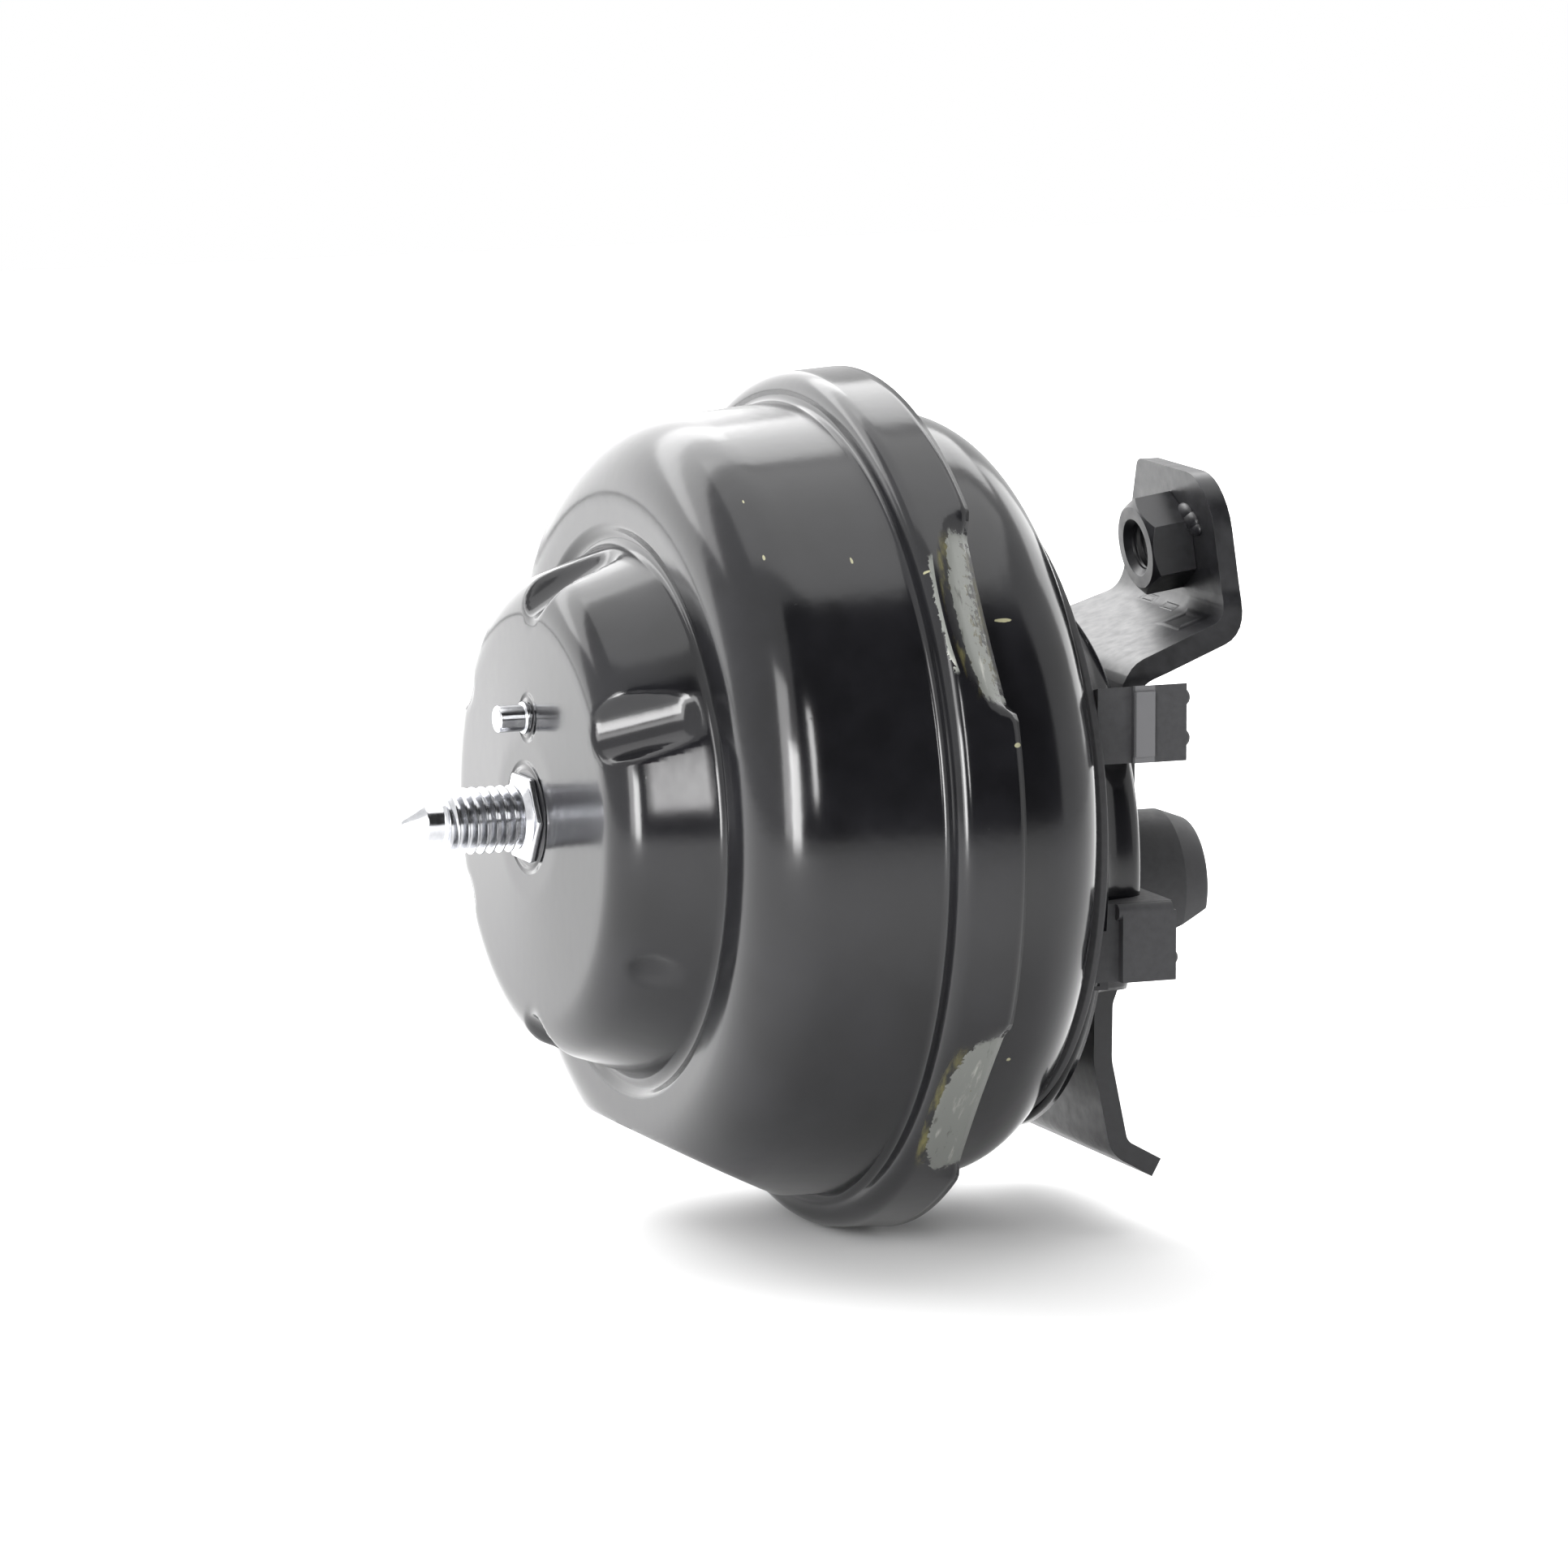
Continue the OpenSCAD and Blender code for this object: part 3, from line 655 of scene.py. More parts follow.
def thread_paint():
    """Satin paint of the nut, with the thread's grooves in its bore."""
    material = grained("satin_black_dip_paint_thread", SATIN_TONES, 500,
                       (0.3, 0.42), 0.02)
    tree = material.node_tree
    place = add(tree, "ShaderNodeTexCoord", {}, {}, "Object")
    way = Vector((math.cos(EAR_LEAN), 0, math.sin(EAR_LEAN)))
    local = add(tree, "ShaderNodeVectorMath", {"operation": "SUBTRACT"},
                {0: place, 1: NUT_AT * MM})
    depth = add(tree, "ShaderNodeVectorMath", {"operation": "DOT_PRODUCT"},
                {0: local, 1: way}, "Value")
    out = add(tree, "ShaderNodeVectorMath", {"operation": "CROSS_PRODUCT"},
              {0: local, 1: way})
    radius = add(tree, "ShaderNodeVectorMath", {"operation": "LENGTH"},
                 {0: out}, "Value")
    turns = add(tree, "ShaderNodeMath", {"operation": "MULTIPLY"},
                {0: depth, 1: math.tau / (NUT_PITCH * MM)})
    wave = add(tree, "ShaderNodeMath", {"operation": "SINE"}, {0: turns})
    inside = add(tree, "ShaderNodeMath", {"operation": "LESS_THAN"},
                 {0: radius, 1: NUT_BORE_R * MM})
    groove = add(tree, "ShaderNodeMath", {"operation": "MULTIPLY"},
                 {0: wave, 1: inside})
    bump = add(tree, "ShaderNodeBump", {},
               {"Height": groove, "Strength": 1.0,
                "Distance": GROOVE_DEPTH * MM})
    feed(material, {"Normal": bump})
    return material


nut_black = thread_paint()
print(nut_black.name, "with a pitch of", NUT_PITCH, "mm")


# %% [markdown]
# ## The upper block's bright strip
# The raised strip of the upper rubber block is rubbed smooth, so its roughness is lower,
# and its colour is lightened as a painted sheen for the light it mirrors. A mask between
# two distances along the axis picks the strip out.

# %% Rubber of the upper block
STRIP_FROM = 79.0
STRIP_TO = 82.5
STRIP_EDGE = 0.3
# Painted sheen: a lighter grey that stands in for the light the strip mirrors
STRIP_SHEEN_TONE = paint_hex("5a5a5c")
STRIP_ROUGH = 0.32


def sheen_strip_rubber():
    """Rubber of the upper block, smoother on its raised strip, with a painted sheen."""
    material = grained("moulded_rubber_polished_painted_sheen_strip", RUBBER_TONES, 900,
                       (0.55, 0.7), 0.03)
    tree = material.node_tree
    place = add(tree, "ShaderNodeTexCoord", {}, {}, "Object")
    along = add(tree, "ShaderNodeSeparateXYZ", {}, {0: place}, "X")
    strip = mask(tree, (along, STRIP_FROM, STRIP_FROM + STRIP_EDGE),
                 (along, STRIP_TO, STRIP_TO - STRIP_EDGE))
    # The strip gets the painted sheen colour and the lower roughness
    for key, value in (("Base Color", STRIP_SHEEN_TONE),
                       ("Roughness", grey(STRIP_ROUGH))):
        blend = add(tree, "ShaderNodeMix", {"data_type": "RGBA"},
                    {"Factor": strip, 6: fed(material, key), 7: value}, 2)
        feed(material, {key: blend})
    return material


block_rubber = sheen_strip_rubber()
print(block_rubber.name, "strip", STRIP_TO - STRIP_FROM, "mm wide")


# %% [markdown]
# ## The pot
# The pot is deep drawn from one disc of sheet steel. Its profile is spun, and
# then the marks of the press are pushed in: rounded notches in the boss edge,
# a shallow round mark, the two flats below, and the crimped stretches where
# the skirt is bent in behind the shell's flange. Moving the vertices of a fine
# mesh gives the soft edges that drawn sheet has.

# %% The pot's profile
CUP_T = 2.0
RIM_S = 42.9
RIM_END = 53.1
# Corners as radius and distance along the axis, and the radius of each bend
cup_path = fill(bend(
    [(0, 0), (12, 0), (34.6, 1), (40.2, 17.2), (42.8, 15.2), (57.6, 15.2),
     (60, RIM_S), (RIM_R - 0.6, RIM_S), (RIM_R, RIM_END)],
    [0, 0, 7, 1.6, 1.4, 12, 1.2, 2.8, 0]), 1.3)
cup = spin_profile(cup_path, steps=320)
face_out(cup, Vector((0, 0, 0.005)))
print("pot:", len(cup_path), "rings")


# %% Notches in the boss edge
# Angles up from the near side, in degrees
NOTCHES = [90, 30, -90, 150, -150]
# The bar's radius, and two places under it as distance and radius
NOTCH_R = 6.0
NOTCH_A = Vector((3.5, 31.4))
NOTCH_B = Vector((14.0, 37.8))
NOTCH_RUN = unit(NOTCH_B - NOTCH_A)
NOTCH_OUT = Vector((-NOTCH_RUN.y, NOTCH_RUN.x))
# The bar reaches this far along the axis, and this many radians each way
NOTCH_LAST = 17
NOTCH_SPREAD = 0.6
NOTCH_EDGE = 0.5
NOTCH_FADE = 1.6


def soft(x, k):
    """0 below -k, x above k, and a smooth bend between."""
    if x <= -k:
        return 0.0
    return x if x >= k else (x + k) ** 2 / (4 * k)


def round_place(co):
    """Distance along the axis, radius and angle up from the near side."""
    return co.x / MM, math.hypot(co.y, co.z) / MM, math.atan2(co.z, -co.y)


def press_notch(co, degrees):
    """Push a point in under a round bar laid across the boss edge."""
    s, radius, angle = round_place(co)
    off = (angle - math.radians(degrees) + math.pi) % math.tau - math.pi
    if abs(off) > NOTCH_SPREAD or s > NOTCH_LAST:
        return co
    flat = Vector((s, radius * math.cos(off)))
    side = radius * math.sin(off)
    along = (flat - NOTCH_B).dot(NOTCH_RUN)
    high = (flat - NOTCH_B).dot(NOTCH_OUT) - NOTCH_R
    reach = NOTCH_R ** 2 - side ** 2
    cut = math.sqrt(reach) if reach > 0 else NOTCH_R - abs(side) - 1
    fade = min(1, max(0, (NOTCH_FADE / 2 - along) / NOTCH_FADE))
    a = math.radians(degrees)
    shift = -NOTCH_OUT * (soft(high + cut, NOTCH_EDGE) * fade)
    return co + Vector((shift.x, -shift.y * math.cos(a),
                        shift.y * math.sin(a))) * MM


# %% Round mark and flats of the pot
# The shallow mark lies on the boss, 30 degrees below the near side
MARK_ANGLE = math.radians(-30)
MARK_S = 7.8
MARK_R = 2.9
MARK_DEPTH = 0.9
MARK_STRETCH = 0.8
BOSS_EDGE_R = 33
BOSS_EDGE_S = 14
# The chamfered flat passes this place and falls to the flat underside
CHAMFER_S = 18.4
CHAMFER_Z = -49.4
CHAMFER_FALL = math.radians(26.2)
UNDERSIDE_Z = -57.0
FLATS_END = RIM_S - 0.4
FLATS_FADE = 2
FLATS_EDGE = 0.6


def press_round_mark(co):
    """Dent the boss in a round patch."""
    s, radius, angle = round_place(co)
    if s < BOSS_EDGE_S and radius > BOSS_EDGE_R:
        off = (angle - MARK_ANGLE) * radius
        reach = math.hypot((s - MARK_S) * MARK_STRETCH, off)
        dent = MARK_DEPTH * max(0, 1 - (reach / MARK_R) ** 4)
        co.y *= 1 - dent / radius
        co.z *= 1 - dent / radius


def press_flats(co):
    """Press the chamfered flat and the flat underside, up to the rim."""
    s = co.x / MM
    if s < FLATS_END and co.z < 0:
        low = CHAMFER_Z - (s - CHAMFER_S) * math.tan(CHAMFER_FALL)
        depth = max(low, UNDERSIDE_Z) - co.z / MM
        fade = min(1, (FLATS_END - s) / FLATS_FADE)
        co.z += soft(depth, FLATS_EDGE) * fade * MM


# %% Crimps of the pot
# Degrees from a crimp's middle to its end, and over which its end slopes
CHEEK = 14.8
CHEEK_SLOPE = 3.2
CRIMP_EDGE = 0.4
# Millimetres before a flat's start that the press still reaches
CRIMP_LEAD = 2
# The skirt draws back along the axis by this share of the depth
DRAWN_BACK = 0.15


def press_crimps(co):
    """Press the skirt in to its leaning flats and return the depth in mm."""
    s = co.x / MM
    deepest = 0
    for middle, start, slope in CRIMPS:
        normal, distance, sideways = crimp_plane(middle, start, slope)
        over = co.dot(normal) / MM - distance
        off = math.degrees(abs(math.atan2(co.dot(sideways) / MM, RIM_R)))
        side = min(1, max(0, (CHEEK - off) / CHEEK_SLOPE))
        if s > start - CRIMP_LEAD:
            push = soft(over, CRIMP_EDGE) * side * side * (3 - 2 * side)
            co.y -= normal.y * push * MM
            co.z -= normal.z * push * MM
            co.x -= DRAWN_BACK * push * MM
            deepest = max(deepest, push)
    return deepest


# %% Press the marks into the pot
# The sheet thins by up to this share, where it is pressed this deep
THINNED = 0.4
THINNED_AT = 1.5
depths = []
for vert in cup.verts:
    for degrees in NOTCHES:
        vert.co = press_notch(vert.co, degrees)
    press_round_mark(vert.co)
    press_flats(vert.co)
    depths.append(press_crimps(vert.co))
pot = new_piece("pot", cup, scraped_black, "lower_cup")
thicken(pot, CUP_T)
sheet_share = pot.vertex_groups.new(name="thinned")
for index, depth in enumerate(depths):
    sheet_share.add([index], 1 - THINNED * min(1, depth / THINNED_AT),
                    "REPLACE")
pot.modifiers["sheet"].vertex_group = "thinned"
shade(pot, 50)
print("crimps are pressed up to", round(max(depths), 2), "mm deep")


# %% [markdown]
# ## The shell
# The shell closes the pot, and its flange lies under the pot's skirt. It is
# spun from its profile like the pot.

# %% Shell
SHELL_R = 57.9
SHELL_END = 71.4
SHELL_T = 1.6
FLANGE_END = 50.1
FLANGE_R = 60.4
SHELL_HOLE_R = 33


def face_bracket(bm):
    """Turn all faces so that the one nearest the bracket looks along +X."""
    last = max(bm.faces, key=lambda f: f.calc_center_median().x)
    if last.normal.x < 0:
        bmesh.ops.reverse_faces(bm, faces=bm.faces)


shell_path = fill(bend(
    [(FLANGE_R, FLANGE_END), (SHELL_R, FLANGE_END), (SHELL_R, SHELL_END),
     (SHELL_HOLE_R, SHELL_END)], [0, 1.5, 12, 0], 16), 2.0)
shell_bm = spin_profile(shell_path)
face_bracket(shell_bm)
shell = new_piece("shell", shell_bm, gloss_black,
                  "upper_shell")
thicken(shell, SHELL_T)
shade(shell, 40)


# %% [markdown]
# ## The hub
# The hub is a shallow pressed dish over the rubber spring. Its centre lies 8 mm
# below the mount's axis, and it is cut open below, where the leg passes. It is
# spun whole, cut along four planes, and the faces between them are deleted.

# %% Hub
HUB_R = 37.7
HUB_TOP = 83.9
HUB_T = 2.0
HUB_DROP = 8.0
PAD_TOP = SHELL_END + 2.0
HUB_BRIM = PAD_TOP + 2
hub_path = fill(bend(
    [(HUB_R + 5.8, HUB_BRIM), (HUB_R + 2.6, HUB_BRIM),
     (HUB_R + 0.6, PAD_TOP + 5.2), (HUB_R + 0.5, PAD_TOP + 7.5),
     (HUB_R, HUB_TOP), (6, HUB_TOP)], [0, 1.5, 5, 6, 2.6, 0], 12), 0.9)
hub_bm = spin_profile(hub_path, steps=240, centre_z=-HUB_DROP)
face_bracket(hub_bm)


# %% The hub's opening
# The dish ends at the lower level, and between the sides at the upper one
LOWER_CUT = -26
UPPER_CUT = -19
CUT_FROM = -28
CUT_TO = 25
# Further out than any place on the hub
EVERYWHERE = 99
# The brim stays whole up to here
BRIM_KEPT = HUB_BRIM + 0.1
JOIN_MM = 0.07


def cut_below(bm, z, y_from, y_to, s_from):
    """Remove the faces below z, between two sides and past a distance."""
    gone = [f for f in bm.faces
            if f.calc_center_median().z < z * MM
            and y_from * MM < f.calc_center_median().y < y_to * MM
            and f.calc_center_median().x > s_from * MM]
    bmesh.ops.delete(bm, geom=gone, context="FACES")


for y, z, normal in ((0, LOWER_CUT, (0, 0, 1)), (0, UPPER_CUT, (0, 0, 1)),
                     (CUT_FROM, 0, (0, 1, 0)), (CUT_TO, 0, (0, 1, 0))):
    bmesh.ops.bisect_plane(hub_bm, plane_co=(0, y * MM, z * MM),
                           plane_no=normal, geom=hub_bm.verts[:]
                           + hub_bm.edges[:] + hub_bm.faces[:])
cut_below(hub_bm, LOWER_CUT, -EVERYWHERE, EVERYWHERE, BRIM_KEPT)
cut_below(hub_bm, UPPER_CUT, CUT_FROM, CUT_TO, BRIM_KEPT)
# Points closer than this are merged, for the slivers that the cuts leave. It
# also takes many points of the wall's slight bend, which stand 0.061 mm apart.
# Which of them go differs from run to run, so the hub's mesh does too, by
# about 0.1 mm. The cut edges beside the leg stay ragged all the same.
bmesh.ops.remove_doubles(hub_bm, verts=hub_bm.verts, dist=JOIN_MM * MM)
hub = new_piece("hub_shell", hub_bm, gloss_black, "hub")
thicken(hub, HUB_T)
shade(hub, 40)


# %% [markdown]
# ## Pieces whose solids already have the right shape
# The bracket, the nut, the side blocks, the pin, and the bolt with its washer
# keep their solids' shape. Each gets a copy with its points merged and its flat
# faces joined, so that the edges can be rounded a little and the bends shade
# smoothly.

# %% Finished copies
SAME_POINT = 2e-6
SAME_PLANE = math.radians(0.4)
SHARP = math.radians(40)


def finished(node, material, edge_mm):
    """A merged copy of a node with slightly rounded edges."""
    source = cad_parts[node]
    bm = bmesh.new()
    bm.from_mesh(source.data)
    bmesh.ops.transform(bm, matrix=source.matrix_world, verts=bm.verts)
    bmesh.ops.remove_doubles(bm, verts=bm.verts, dist=SAME_POINT)
    bmesh.ops.dissolve_limit(bm, angle_limit=SAME_PLANE,
                             verts=bm.verts, edges=bm.edges)
    piece = new_piece(node + "_finish", bm, material, node)
    rounding = piece.modifiers.new("edges", "BEVEL")
    rounding.width = edge_mm * MM
    rounding.segments = 3
    rounding.limit_method = "ANGLE"
    rounding.angle_limit = SHARP
    rounding.use_clamp_overlap = True
    shade(piece, 30)


finished("bracket", bracket_black, 0.7)
finished("weld_nut", nut_black, 0.25)
finished("side_block_upper", block_rubber, 0.3)
finished("side_block_lower", moulded_rubber, 0.3)
finished("locating_pin", bright_zinc, 0.1)
finished("core_bolt", dark_bolt, 0.3)
finished("core_washer", dark_bolt, 0.2)


# %% [markdown]
# ## The round rubber pieces
# The collar and the round stop are turned shapes, so they are spun finely.
# The stop's end is cut off at a slant with a knife, and the bisect operator
# makes the same cut.

# %% Collar
COLLAR_R = 48.4
COLLAR_HOLE_R = 36
COLLAR_EDGE = 0.8
COLLAR_DROP = 2
collar_bm = spin_profile(bend(
    [(COLLAR_HOLE_R, SHELL_END), (COLLAR_R - COLLAR_EDGE, SHELL_END),
     (COLLAR_R, SHELL_END + COLLAR_EDGE), (COLLAR_R, PAD_TOP),
     (COLLAR_HOLE_R, PAD_TOP), (COLLAR_HOLE_R, SHELL_END)],
    [0, 0.3, 0.3, 0.5, 0, 0], 4), centre_z=-COLLAR_DROP)
collar = new_piece("collar", collar_bm, moulded_rubber,
                   "rubber_collar")
shade(collar, 50)


# %% Round stop
# The stop stands on the bracket's plate
PLATE_T = 3.0
STOP_R = 11.0
STOP_LENGTH = 16.6
STOP_FROM = HUB_TOP + PLATE_T
STOP_TO = STOP_FROM + STOP_LENGTH
STOP_Y = -8.0
STOP_HIGHEST = -3.5
STOP_Z = STOP_HIGHEST - STOP_R
STOP_SLANT = math.radians(27)
# The knife's plane passes the end at this height over the stop's own axis
KNIFE_Z = -3
stop_bm = spin_profile(fill(bend(
    [(0, STOP_FROM), (STOP_R, STOP_FROM), (STOP_R, STOP_TO - 4.4),
     (STOP_R - 1.6, STOP_TO), (0, STOP_TO)], [0, 0, 0.6, 0.8, 0], 5), 2),
    steps=96)
knife = bmesh.ops.bisect_plane(
    stop_bm, geom=stop_bm.verts[:] + stop_bm.edges[:] + stop_bm.faces[:],
    plane_co=(STOP_TO * MM, 0, KNIFE_Z * MM),
    plane_no=(math.sin(STOP_SLANT), 0, -math.cos(STOP_SLANT)),
    clear_outer=True)
slant = [e for e in knife["geom_cut"] if isinstance(e, bmesh.types.BMEdge)]
bmesh.ops.contextual_create(stop_bm, geom=slant)
bmesh.ops.translate(stop_bm, verts=stop_bm.verts,
                    vec=(0, STOP_Y * MM, STOP_Z * MM))
bmesh.ops.recalc_face_normals(stop_bm, faces=stop_bm.faces)
stop = new_piece("round_stop", stop_bm, moulded_rubber, "end_stop")
shade(stop, 24)


# %% [markdown]
# ## Weld spatter
# Three lumps from welding the nut stick to the ear beside it. They are small
# spheres, flattened and sunk in the surface.

# %% Weld beads
# Places across and up on the ear, and radii
BEADS = [(-9.6, 41.8, 1.9), (-11.2, 40.8, 2.0), (-12.6, 39.8, 1.5)]
BEAD_SHAPE = (0.45, 1.4, 0.8, 1)
# A place in the ear's face, along the axis and up
EAR_S = 102.7
EAR_Z = 42.2
beads_bm = bmesh.new()
for y, z, size in BEADS:
    s = EAR_S - (z - EAR_Z) * math.tan(EAR_LEAN)
    bmesh.ops.create_icosphere(
        beads_bm, subdivisions=3, radius=size * MM,
        matrix=Matrix.Translation((s * MM, y * MM, z * MM))
        @ Matrix.Diagonal(BEAD_SHAPE))
beads = new_piece("weld_beads", beads_bm, satin_black)
shade(beads, 60)


# %% [markdown]
# ## The sealed pieces
# Nothing of the pieces inside is seen, so their solids stay as they are and
# only get the finish of their real material.

# %% Inner pieces
STEEL_INSIDE = ("diaphragm_ring", "channel_lower_plate",
                "channel_upper_plate", "spring_ring", "core")
RUBBER_INSIDE = ("diaphragm", "decoupler_disc", "main_spring",
                 "rebound_ring")
for names, finish in ((STEEL_INSIDE, plain_steel),
                      (RUBBER_INSIDE, moulded_rubber)):
    for name in names:
        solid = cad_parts[name].data
        solid.materials.clear()
        solid.materials.append(finish)
    print(finish.name, "inside:", len(names), "pieces")


# %% [markdown]
# ## The stud
# The stud has a rolled M10 thread with a pitch of 1.5 mm. The spin operator
# can shift along its axis as it turns, which is a screw: one turn of a row of
# teeth, moved along by one pitch, joins up into one endless thread.

# %% Rolled thread
STUD_R = 5.0
THREAD_DEPTH = 0.92
PITCH = 1.5
THREAD_FROM = -13.6
THREAD_TO = -1.6
THREAD_STEPS = 48
# Places of a tooth's foot, crest and foot, as shares of the pitch
TOOTH = [(0, 0), (0.12, 0), (0.43, 1), (0.57, 1), (0.88, 0)]


def thread_mesh(radius, root, start, end, pitch):
    """Closed round bar with a rolled thread between two distances."""
    bm = bmesh.new()
    row = []
    s = start - pitch
    for _ in range(int((end - start) / pitch) + 2):
        row += [(s + share * pitch, radius if crest else root)
                for share, crest in TOOTH]
        s += pitch
    row.append((s, root))
    verts = [bm.verts.new((a * MM, 0, r * MM)) for a, r in row]
    edges = [bm.edges.new(pair) for pair in zip(verts, verts[1:])]
    bmesh.ops.spin(bm, geom=verts + edges, cent=(0, 0, 0), axis=(1, 0, 0),
                   dvec=(pitch * MM / THREAD_STEPS, 0, 0), angle=math.tau,
                   steps=THREAD_STEPS, use_merge=False)
    bmesh.ops.remove_doubles(bm, verts=bm.verts, dist=SAME_POINT)
    for where, keep in ((start, 1), (end, -1)):
        bmesh.ops.bisect_plane(
            bm, geom=bm.verts[:] + bm.edges[:] + bm.faces[:],
            plane_co=(where * MM, 0, 0), plane_no=(-keep, 0, 0),
            clear_outer=True)
        rim = [e for e in bm.edges if e.is_boundary
               and all(abs(v.co.x - where * MM) < 1e-6 for v in e.verts)]
        bmesh.ops.contextual_create(bm, geom=rim)
    bmesh.ops.recalc_face_normals(bm, faces=bm.faces)
    return bm


stud_bm = thread_mesh(STUD_R, STUD_R - THREAD_DEPTH, THREAD_FROM, THREAD_TO,
                      PITCH)
print("thread:", len(stud_bm.faces), "faces")


# %% [markdown]
# ## The stud's body
# A dog point leads the nut on, and a hexagon stands on the boss with the flat
# head behind it. The round parts are one spun profile, and the hexagon is a
# cone with six sides and equal radii. All of it is joined to the thread.

# %% Threaded stud
HEX_FLATS = 12.6
HEX_T = 1.1
HEX_EDGE = 0.35
# Corners as radius and distance along the axis, and the radius of each bend
body_path = bend(
    [(0, -20), (0.7, -20), (3.15, -16.6), (3.15, -14.0), (4.08, -13.1),
     (4.08, -2), (5.0, -2), (6.1, -1.0), (6.1, -0.2), (5.5, -0.2), (5.5, 2),
     (11, 2), (11, 4.5), (0, 4.5)],
    [0, 0.4, 0.5, 0.2, 0, 0, 0.3, 0.2, 0, 0, 0, 0, 0.5, 0], 4)
body_bm = spin_profile(body_path, steps=64)
bmesh.ops.recalc_face_normals(body_bm, faces=body_bm.faces)
hex_bm = bmesh.new()
bmesh.ops.create_cone(hex_bm, cap_ends=True, segments=6,
                      radius1=HEX_FLATS / math.sqrt(3) * MM,
                      radius2=HEX_FLATS / math.sqrt(3) * MM,
                      depth=HEX_T * MM,
                      matrix=Matrix.Translation((-HEX_T / 2 * MM, 0, 0))
                      @ Matrix.Rotation(math.pi / 2, 4, "Y"))
bmesh.ops.bevel(hex_bm, geom=hex_bm.edges[:], offset=HEX_EDGE * MM,
                offset_type="OFFSET", segments=3, profile=0.5,
                affect="EDGES", material=-1)
for extra in (body_bm, hex_bm):
    mesh = bpy.data.meshes.new("stud_extra")
    extra.to_mesh(mesh)
    extra.free()
    stud_bm.from_mesh(mesh)
    bpy.data.meshes.remove(mesh)
stud = new_piece("threaded_stud", stud_bm, bright_zinc, "stud")
shade(stud, 24)


# %% [markdown]
# ## The floor
# The mount lies on a wide flat sheet, dull and nearly white, that takes its
# shadow. The sheet's far edge doesn't show, because it is lit until it looks
# as white as the world behind it.

# %% Floor
FLOOR_HALF = 1.1
FLOOR_AT = (0.05, 0.2)
floor_z = cad_box[0][2]
floor_bm = bmesh.new()
bmesh.ops.create_grid(floor_bm, x_segments=1, y_segments=1, size=FLOOR_HALF,
                      matrix=Matrix.Translation((*FLOOR_AT, floor_z)))
floor_mesh = bpy.data.meshes.new("floor")
floor_bm.to_mesh(floor_mesh)
floor_bm.free()
floor = bpy.data.objects.new("floor", floor_mesh)
bpy.context.scene.collection.objects.link(floor)
floor_mesh.materials.append(new_material(
    "white_floor", {"Base Color": grey(0.9), "Roughness": 0.9,
                    "Specular IOR Level": 0.0}))
print("floor at", round(floor_z / MM, 2), "mm")


# %% [markdown]
# ## The world
# The camera and reflections see a white world, and the rest of the light from
# it is dimmer, so that the lamps shape the mount. The light path tells the two
# kinds of ray apart.

# %% World
DIM_WORLD = 0.55
world = bpy.data.worlds.new("studio")
bpy.context.scene.world = world
world.use_nodes = True
sky = world.node_tree
white_for = 0.0
for ray in ("Is Camera Ray", "Is Glossy Ray", "Is Transmission Ray"):
    white_for = add(sky, "ShaderNodeMath", {"operation": "MAXIMUM"},
                    {0: white_for,
                     1: add(sky, "ShaderNodeLightPath", {}, {}, ray)})
dim, white = [add(sky, "ShaderNodeBackground", {},
                  {"Color": grey(1), "Strength": strength})
              for strength in (DIM_WORLD, 1.0)]
mixed = add(sky, "ShaderNodeMixShader", {}, {0: white_for, 1: dim, 2: white})
sky.links.new(mixed, sky.nodes["World Output"].inputs["Surface"])
print("world:", DIM_WORLD, "as light, 1 in the picture")


# %% [markdown]
# ## The lamps
# Large soft lamps light the mount from above, from behind, from both sides
# and from the camera's side. Gloss paint shows little but what it mirrors, so
# a lamp's place and size set a band of light on the pot. One more lamp lights
# the floor behind, which the boss mirrors, and it isn't mirrored itself.

# %% Lamps
def soft_lamp(name, place, target, size, watts):
    """Rectangular area lamp that looks at a target."""
    data = bpy.data.lights.new(name, "AREA")
    data.shape = "RECTANGLE"
    data.size, data.size_y = size
    data.energy = watts
    lamp = bpy.data.objects.new(name, data)
    lamp.location = place
    lamp.rotation_euler = (Vector(target) - Vector(place)) \
        .to_track_quat("-Z", "Y").to_euler()
    bpy.context.scene.collection.objects.link(lamp)
    lamp.visible_camera = False
    return lamp


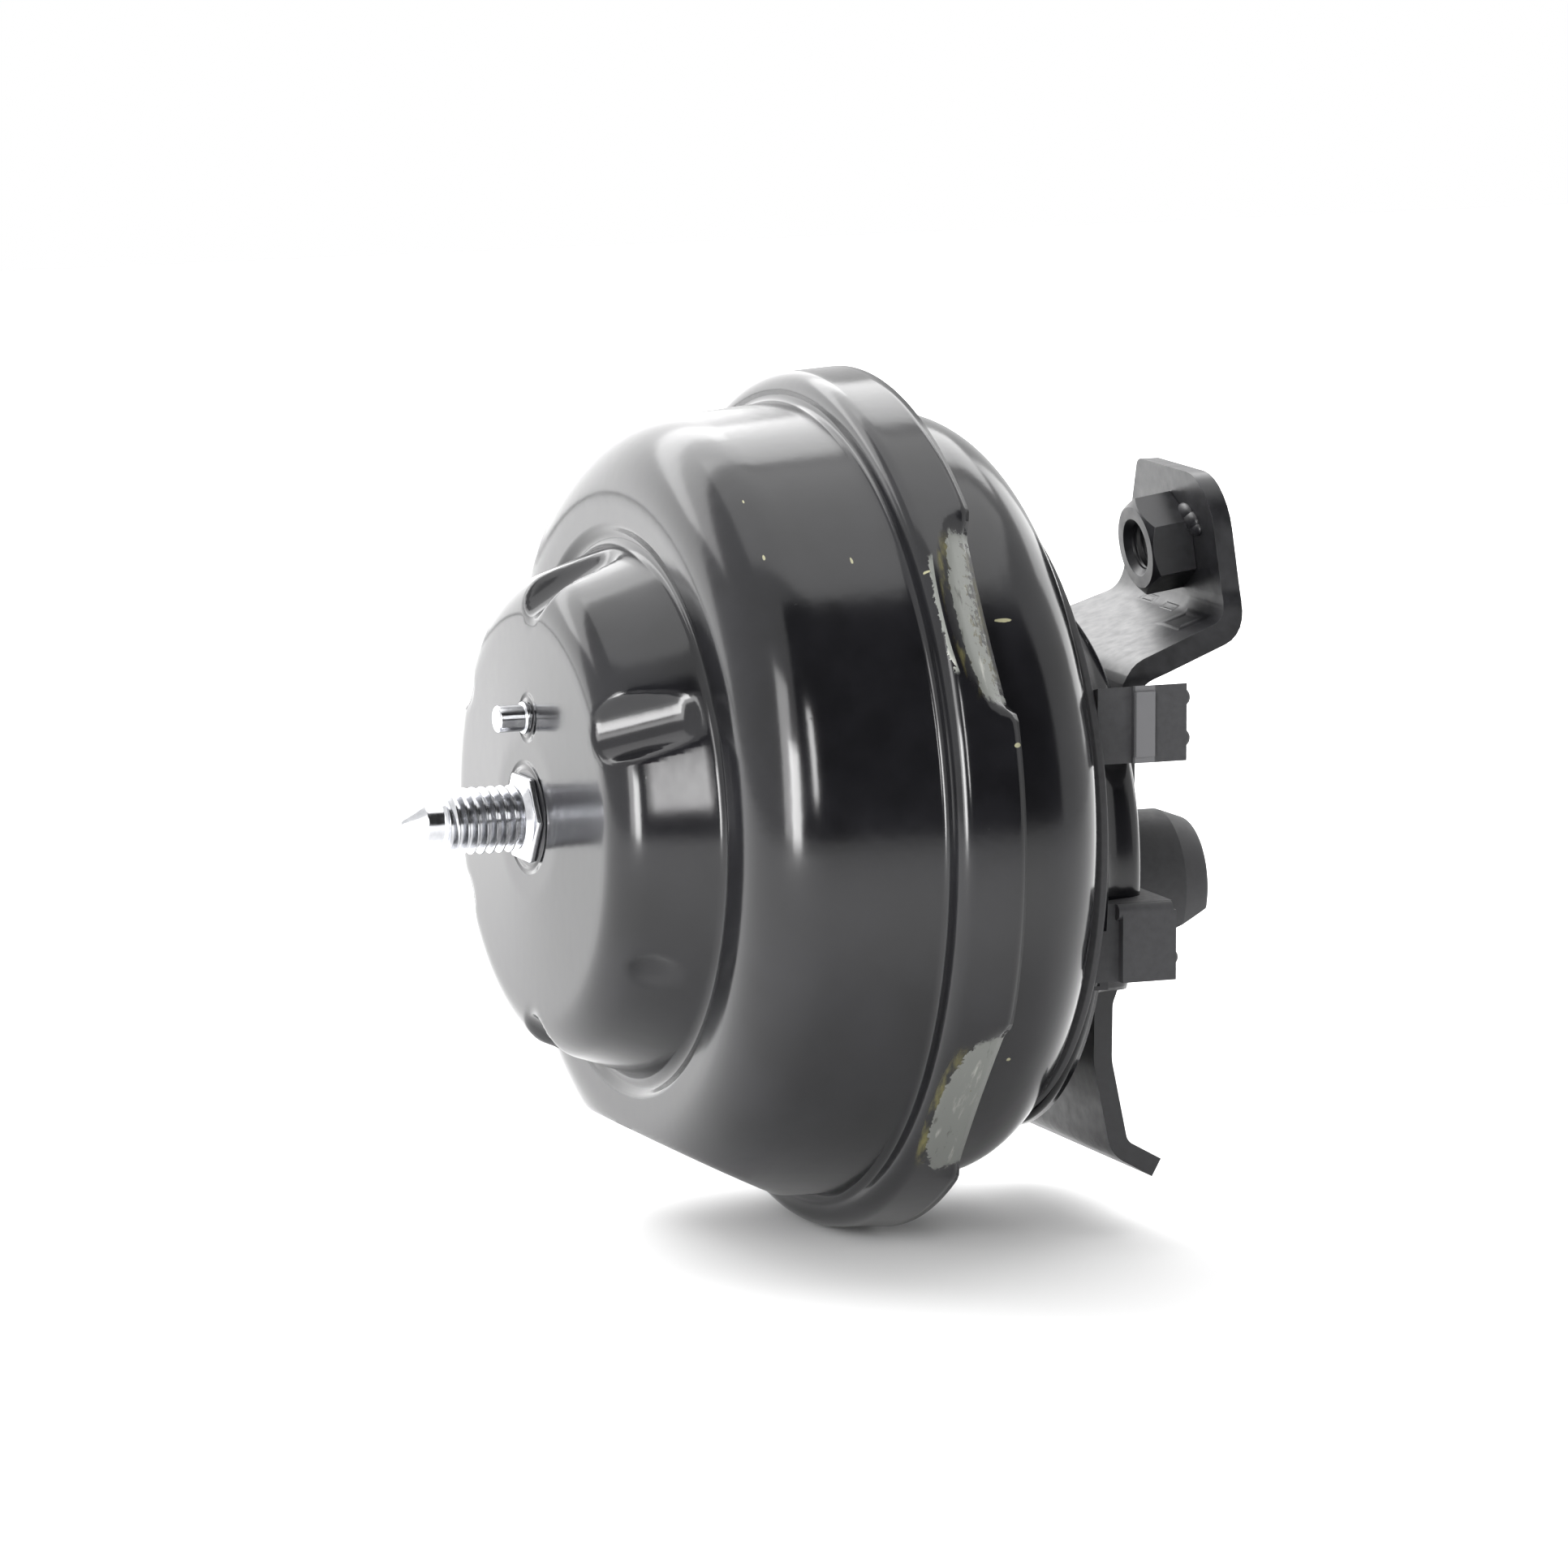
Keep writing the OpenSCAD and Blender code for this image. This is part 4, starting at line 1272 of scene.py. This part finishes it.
# Name, place, target, width and height, all in metres, and watts
MIDDLE = (0.05, 0, 0)
LAMPS = [("top_box", (0.1, 0.1, 0.9), MIDDLE, (1.0, 0.8), 3),
         ("back_top_box", (-0.2, 1.05, 0.9), (-0.2, 0.9, 0), (2.4, 0.9), 22),
         ("back_box", (-0.6, 1.5, 0.6), (-0.6, 0, 0.5), (2.4, 1.3), 22),
         ("right_box", (1.3, 0.7, 0.45), MIDDLE, (0.9, 0.9), 6),
         ("left_box", (-0.9, -0.7, 0.35), MIDDLE, (0.3, 0.9), 5),
         ("left_low_box", (-0.42, -0.5, 0.1), MIDDLE, (0.14, 0.3), 2.4),
         ("strip_box", (-0.55, -2.0, 0.8), MIDDLE, (0.25, 1.0), 12)]
for name, place, target, size, watts in LAMPS:
    soft_lamp(name, place, target, size, watts)
floor_lamp = soft_lamp("floor_box", (-0.2, 0.6, 0.7), (-0.2, 0.6, 0),
                       (0.9, 0.7), 10)
floor_lamp.visible_glossy = False
print("lamps:", len(LAMPS) + 1)


# %% [markdown]
# ## The dark card
# A tall black card stands behind the camera and gives the gloss paint its dark
# bands, as black flags do in a product studio. Only reflections see it.

# %% Dark card
CARD_AT = (0.5, -2.4, 2.9)
CARD_TARGET = (0.5, 0, 2.9)
CARD_SIZE = (4.4, 6)
card_bm = bmesh.new()
bmesh.ops.create_grid(card_bm, x_segments=1, y_segments=1, size=0.5)
card_turn = (Vector(CARD_TARGET) - Vector(CARD_AT)).to_track_quat("-Z", "Y")
bmesh.ops.transform(card_bm, verts=card_bm.verts,
                    matrix=Matrix.Translation(CARD_AT)
                    @ card_turn.to_matrix().to_4x4()
                    @ Matrix.Diagonal((*CARD_SIZE, 1, 1)))
card_mesh = bpy.data.meshes.new("camera_side_card")
card_bm.to_mesh(card_mesh)
card_bm.free()
card = bpy.data.objects.new("camera_side_card", card_mesh)
bpy.context.scene.collection.objects.link(card)
card.visible_camera = False
card.visible_diffuse = False
card.visible_shadow = False
card_mesh.materials.append(new_material(
    "camera_side_card_cloth", {"Base Color": grey(0.004), "Roughness": 1.0}))
bpy.context.scene.view_settings.view_transform = "Standard"
print("card:", CARD_SIZE, "m")
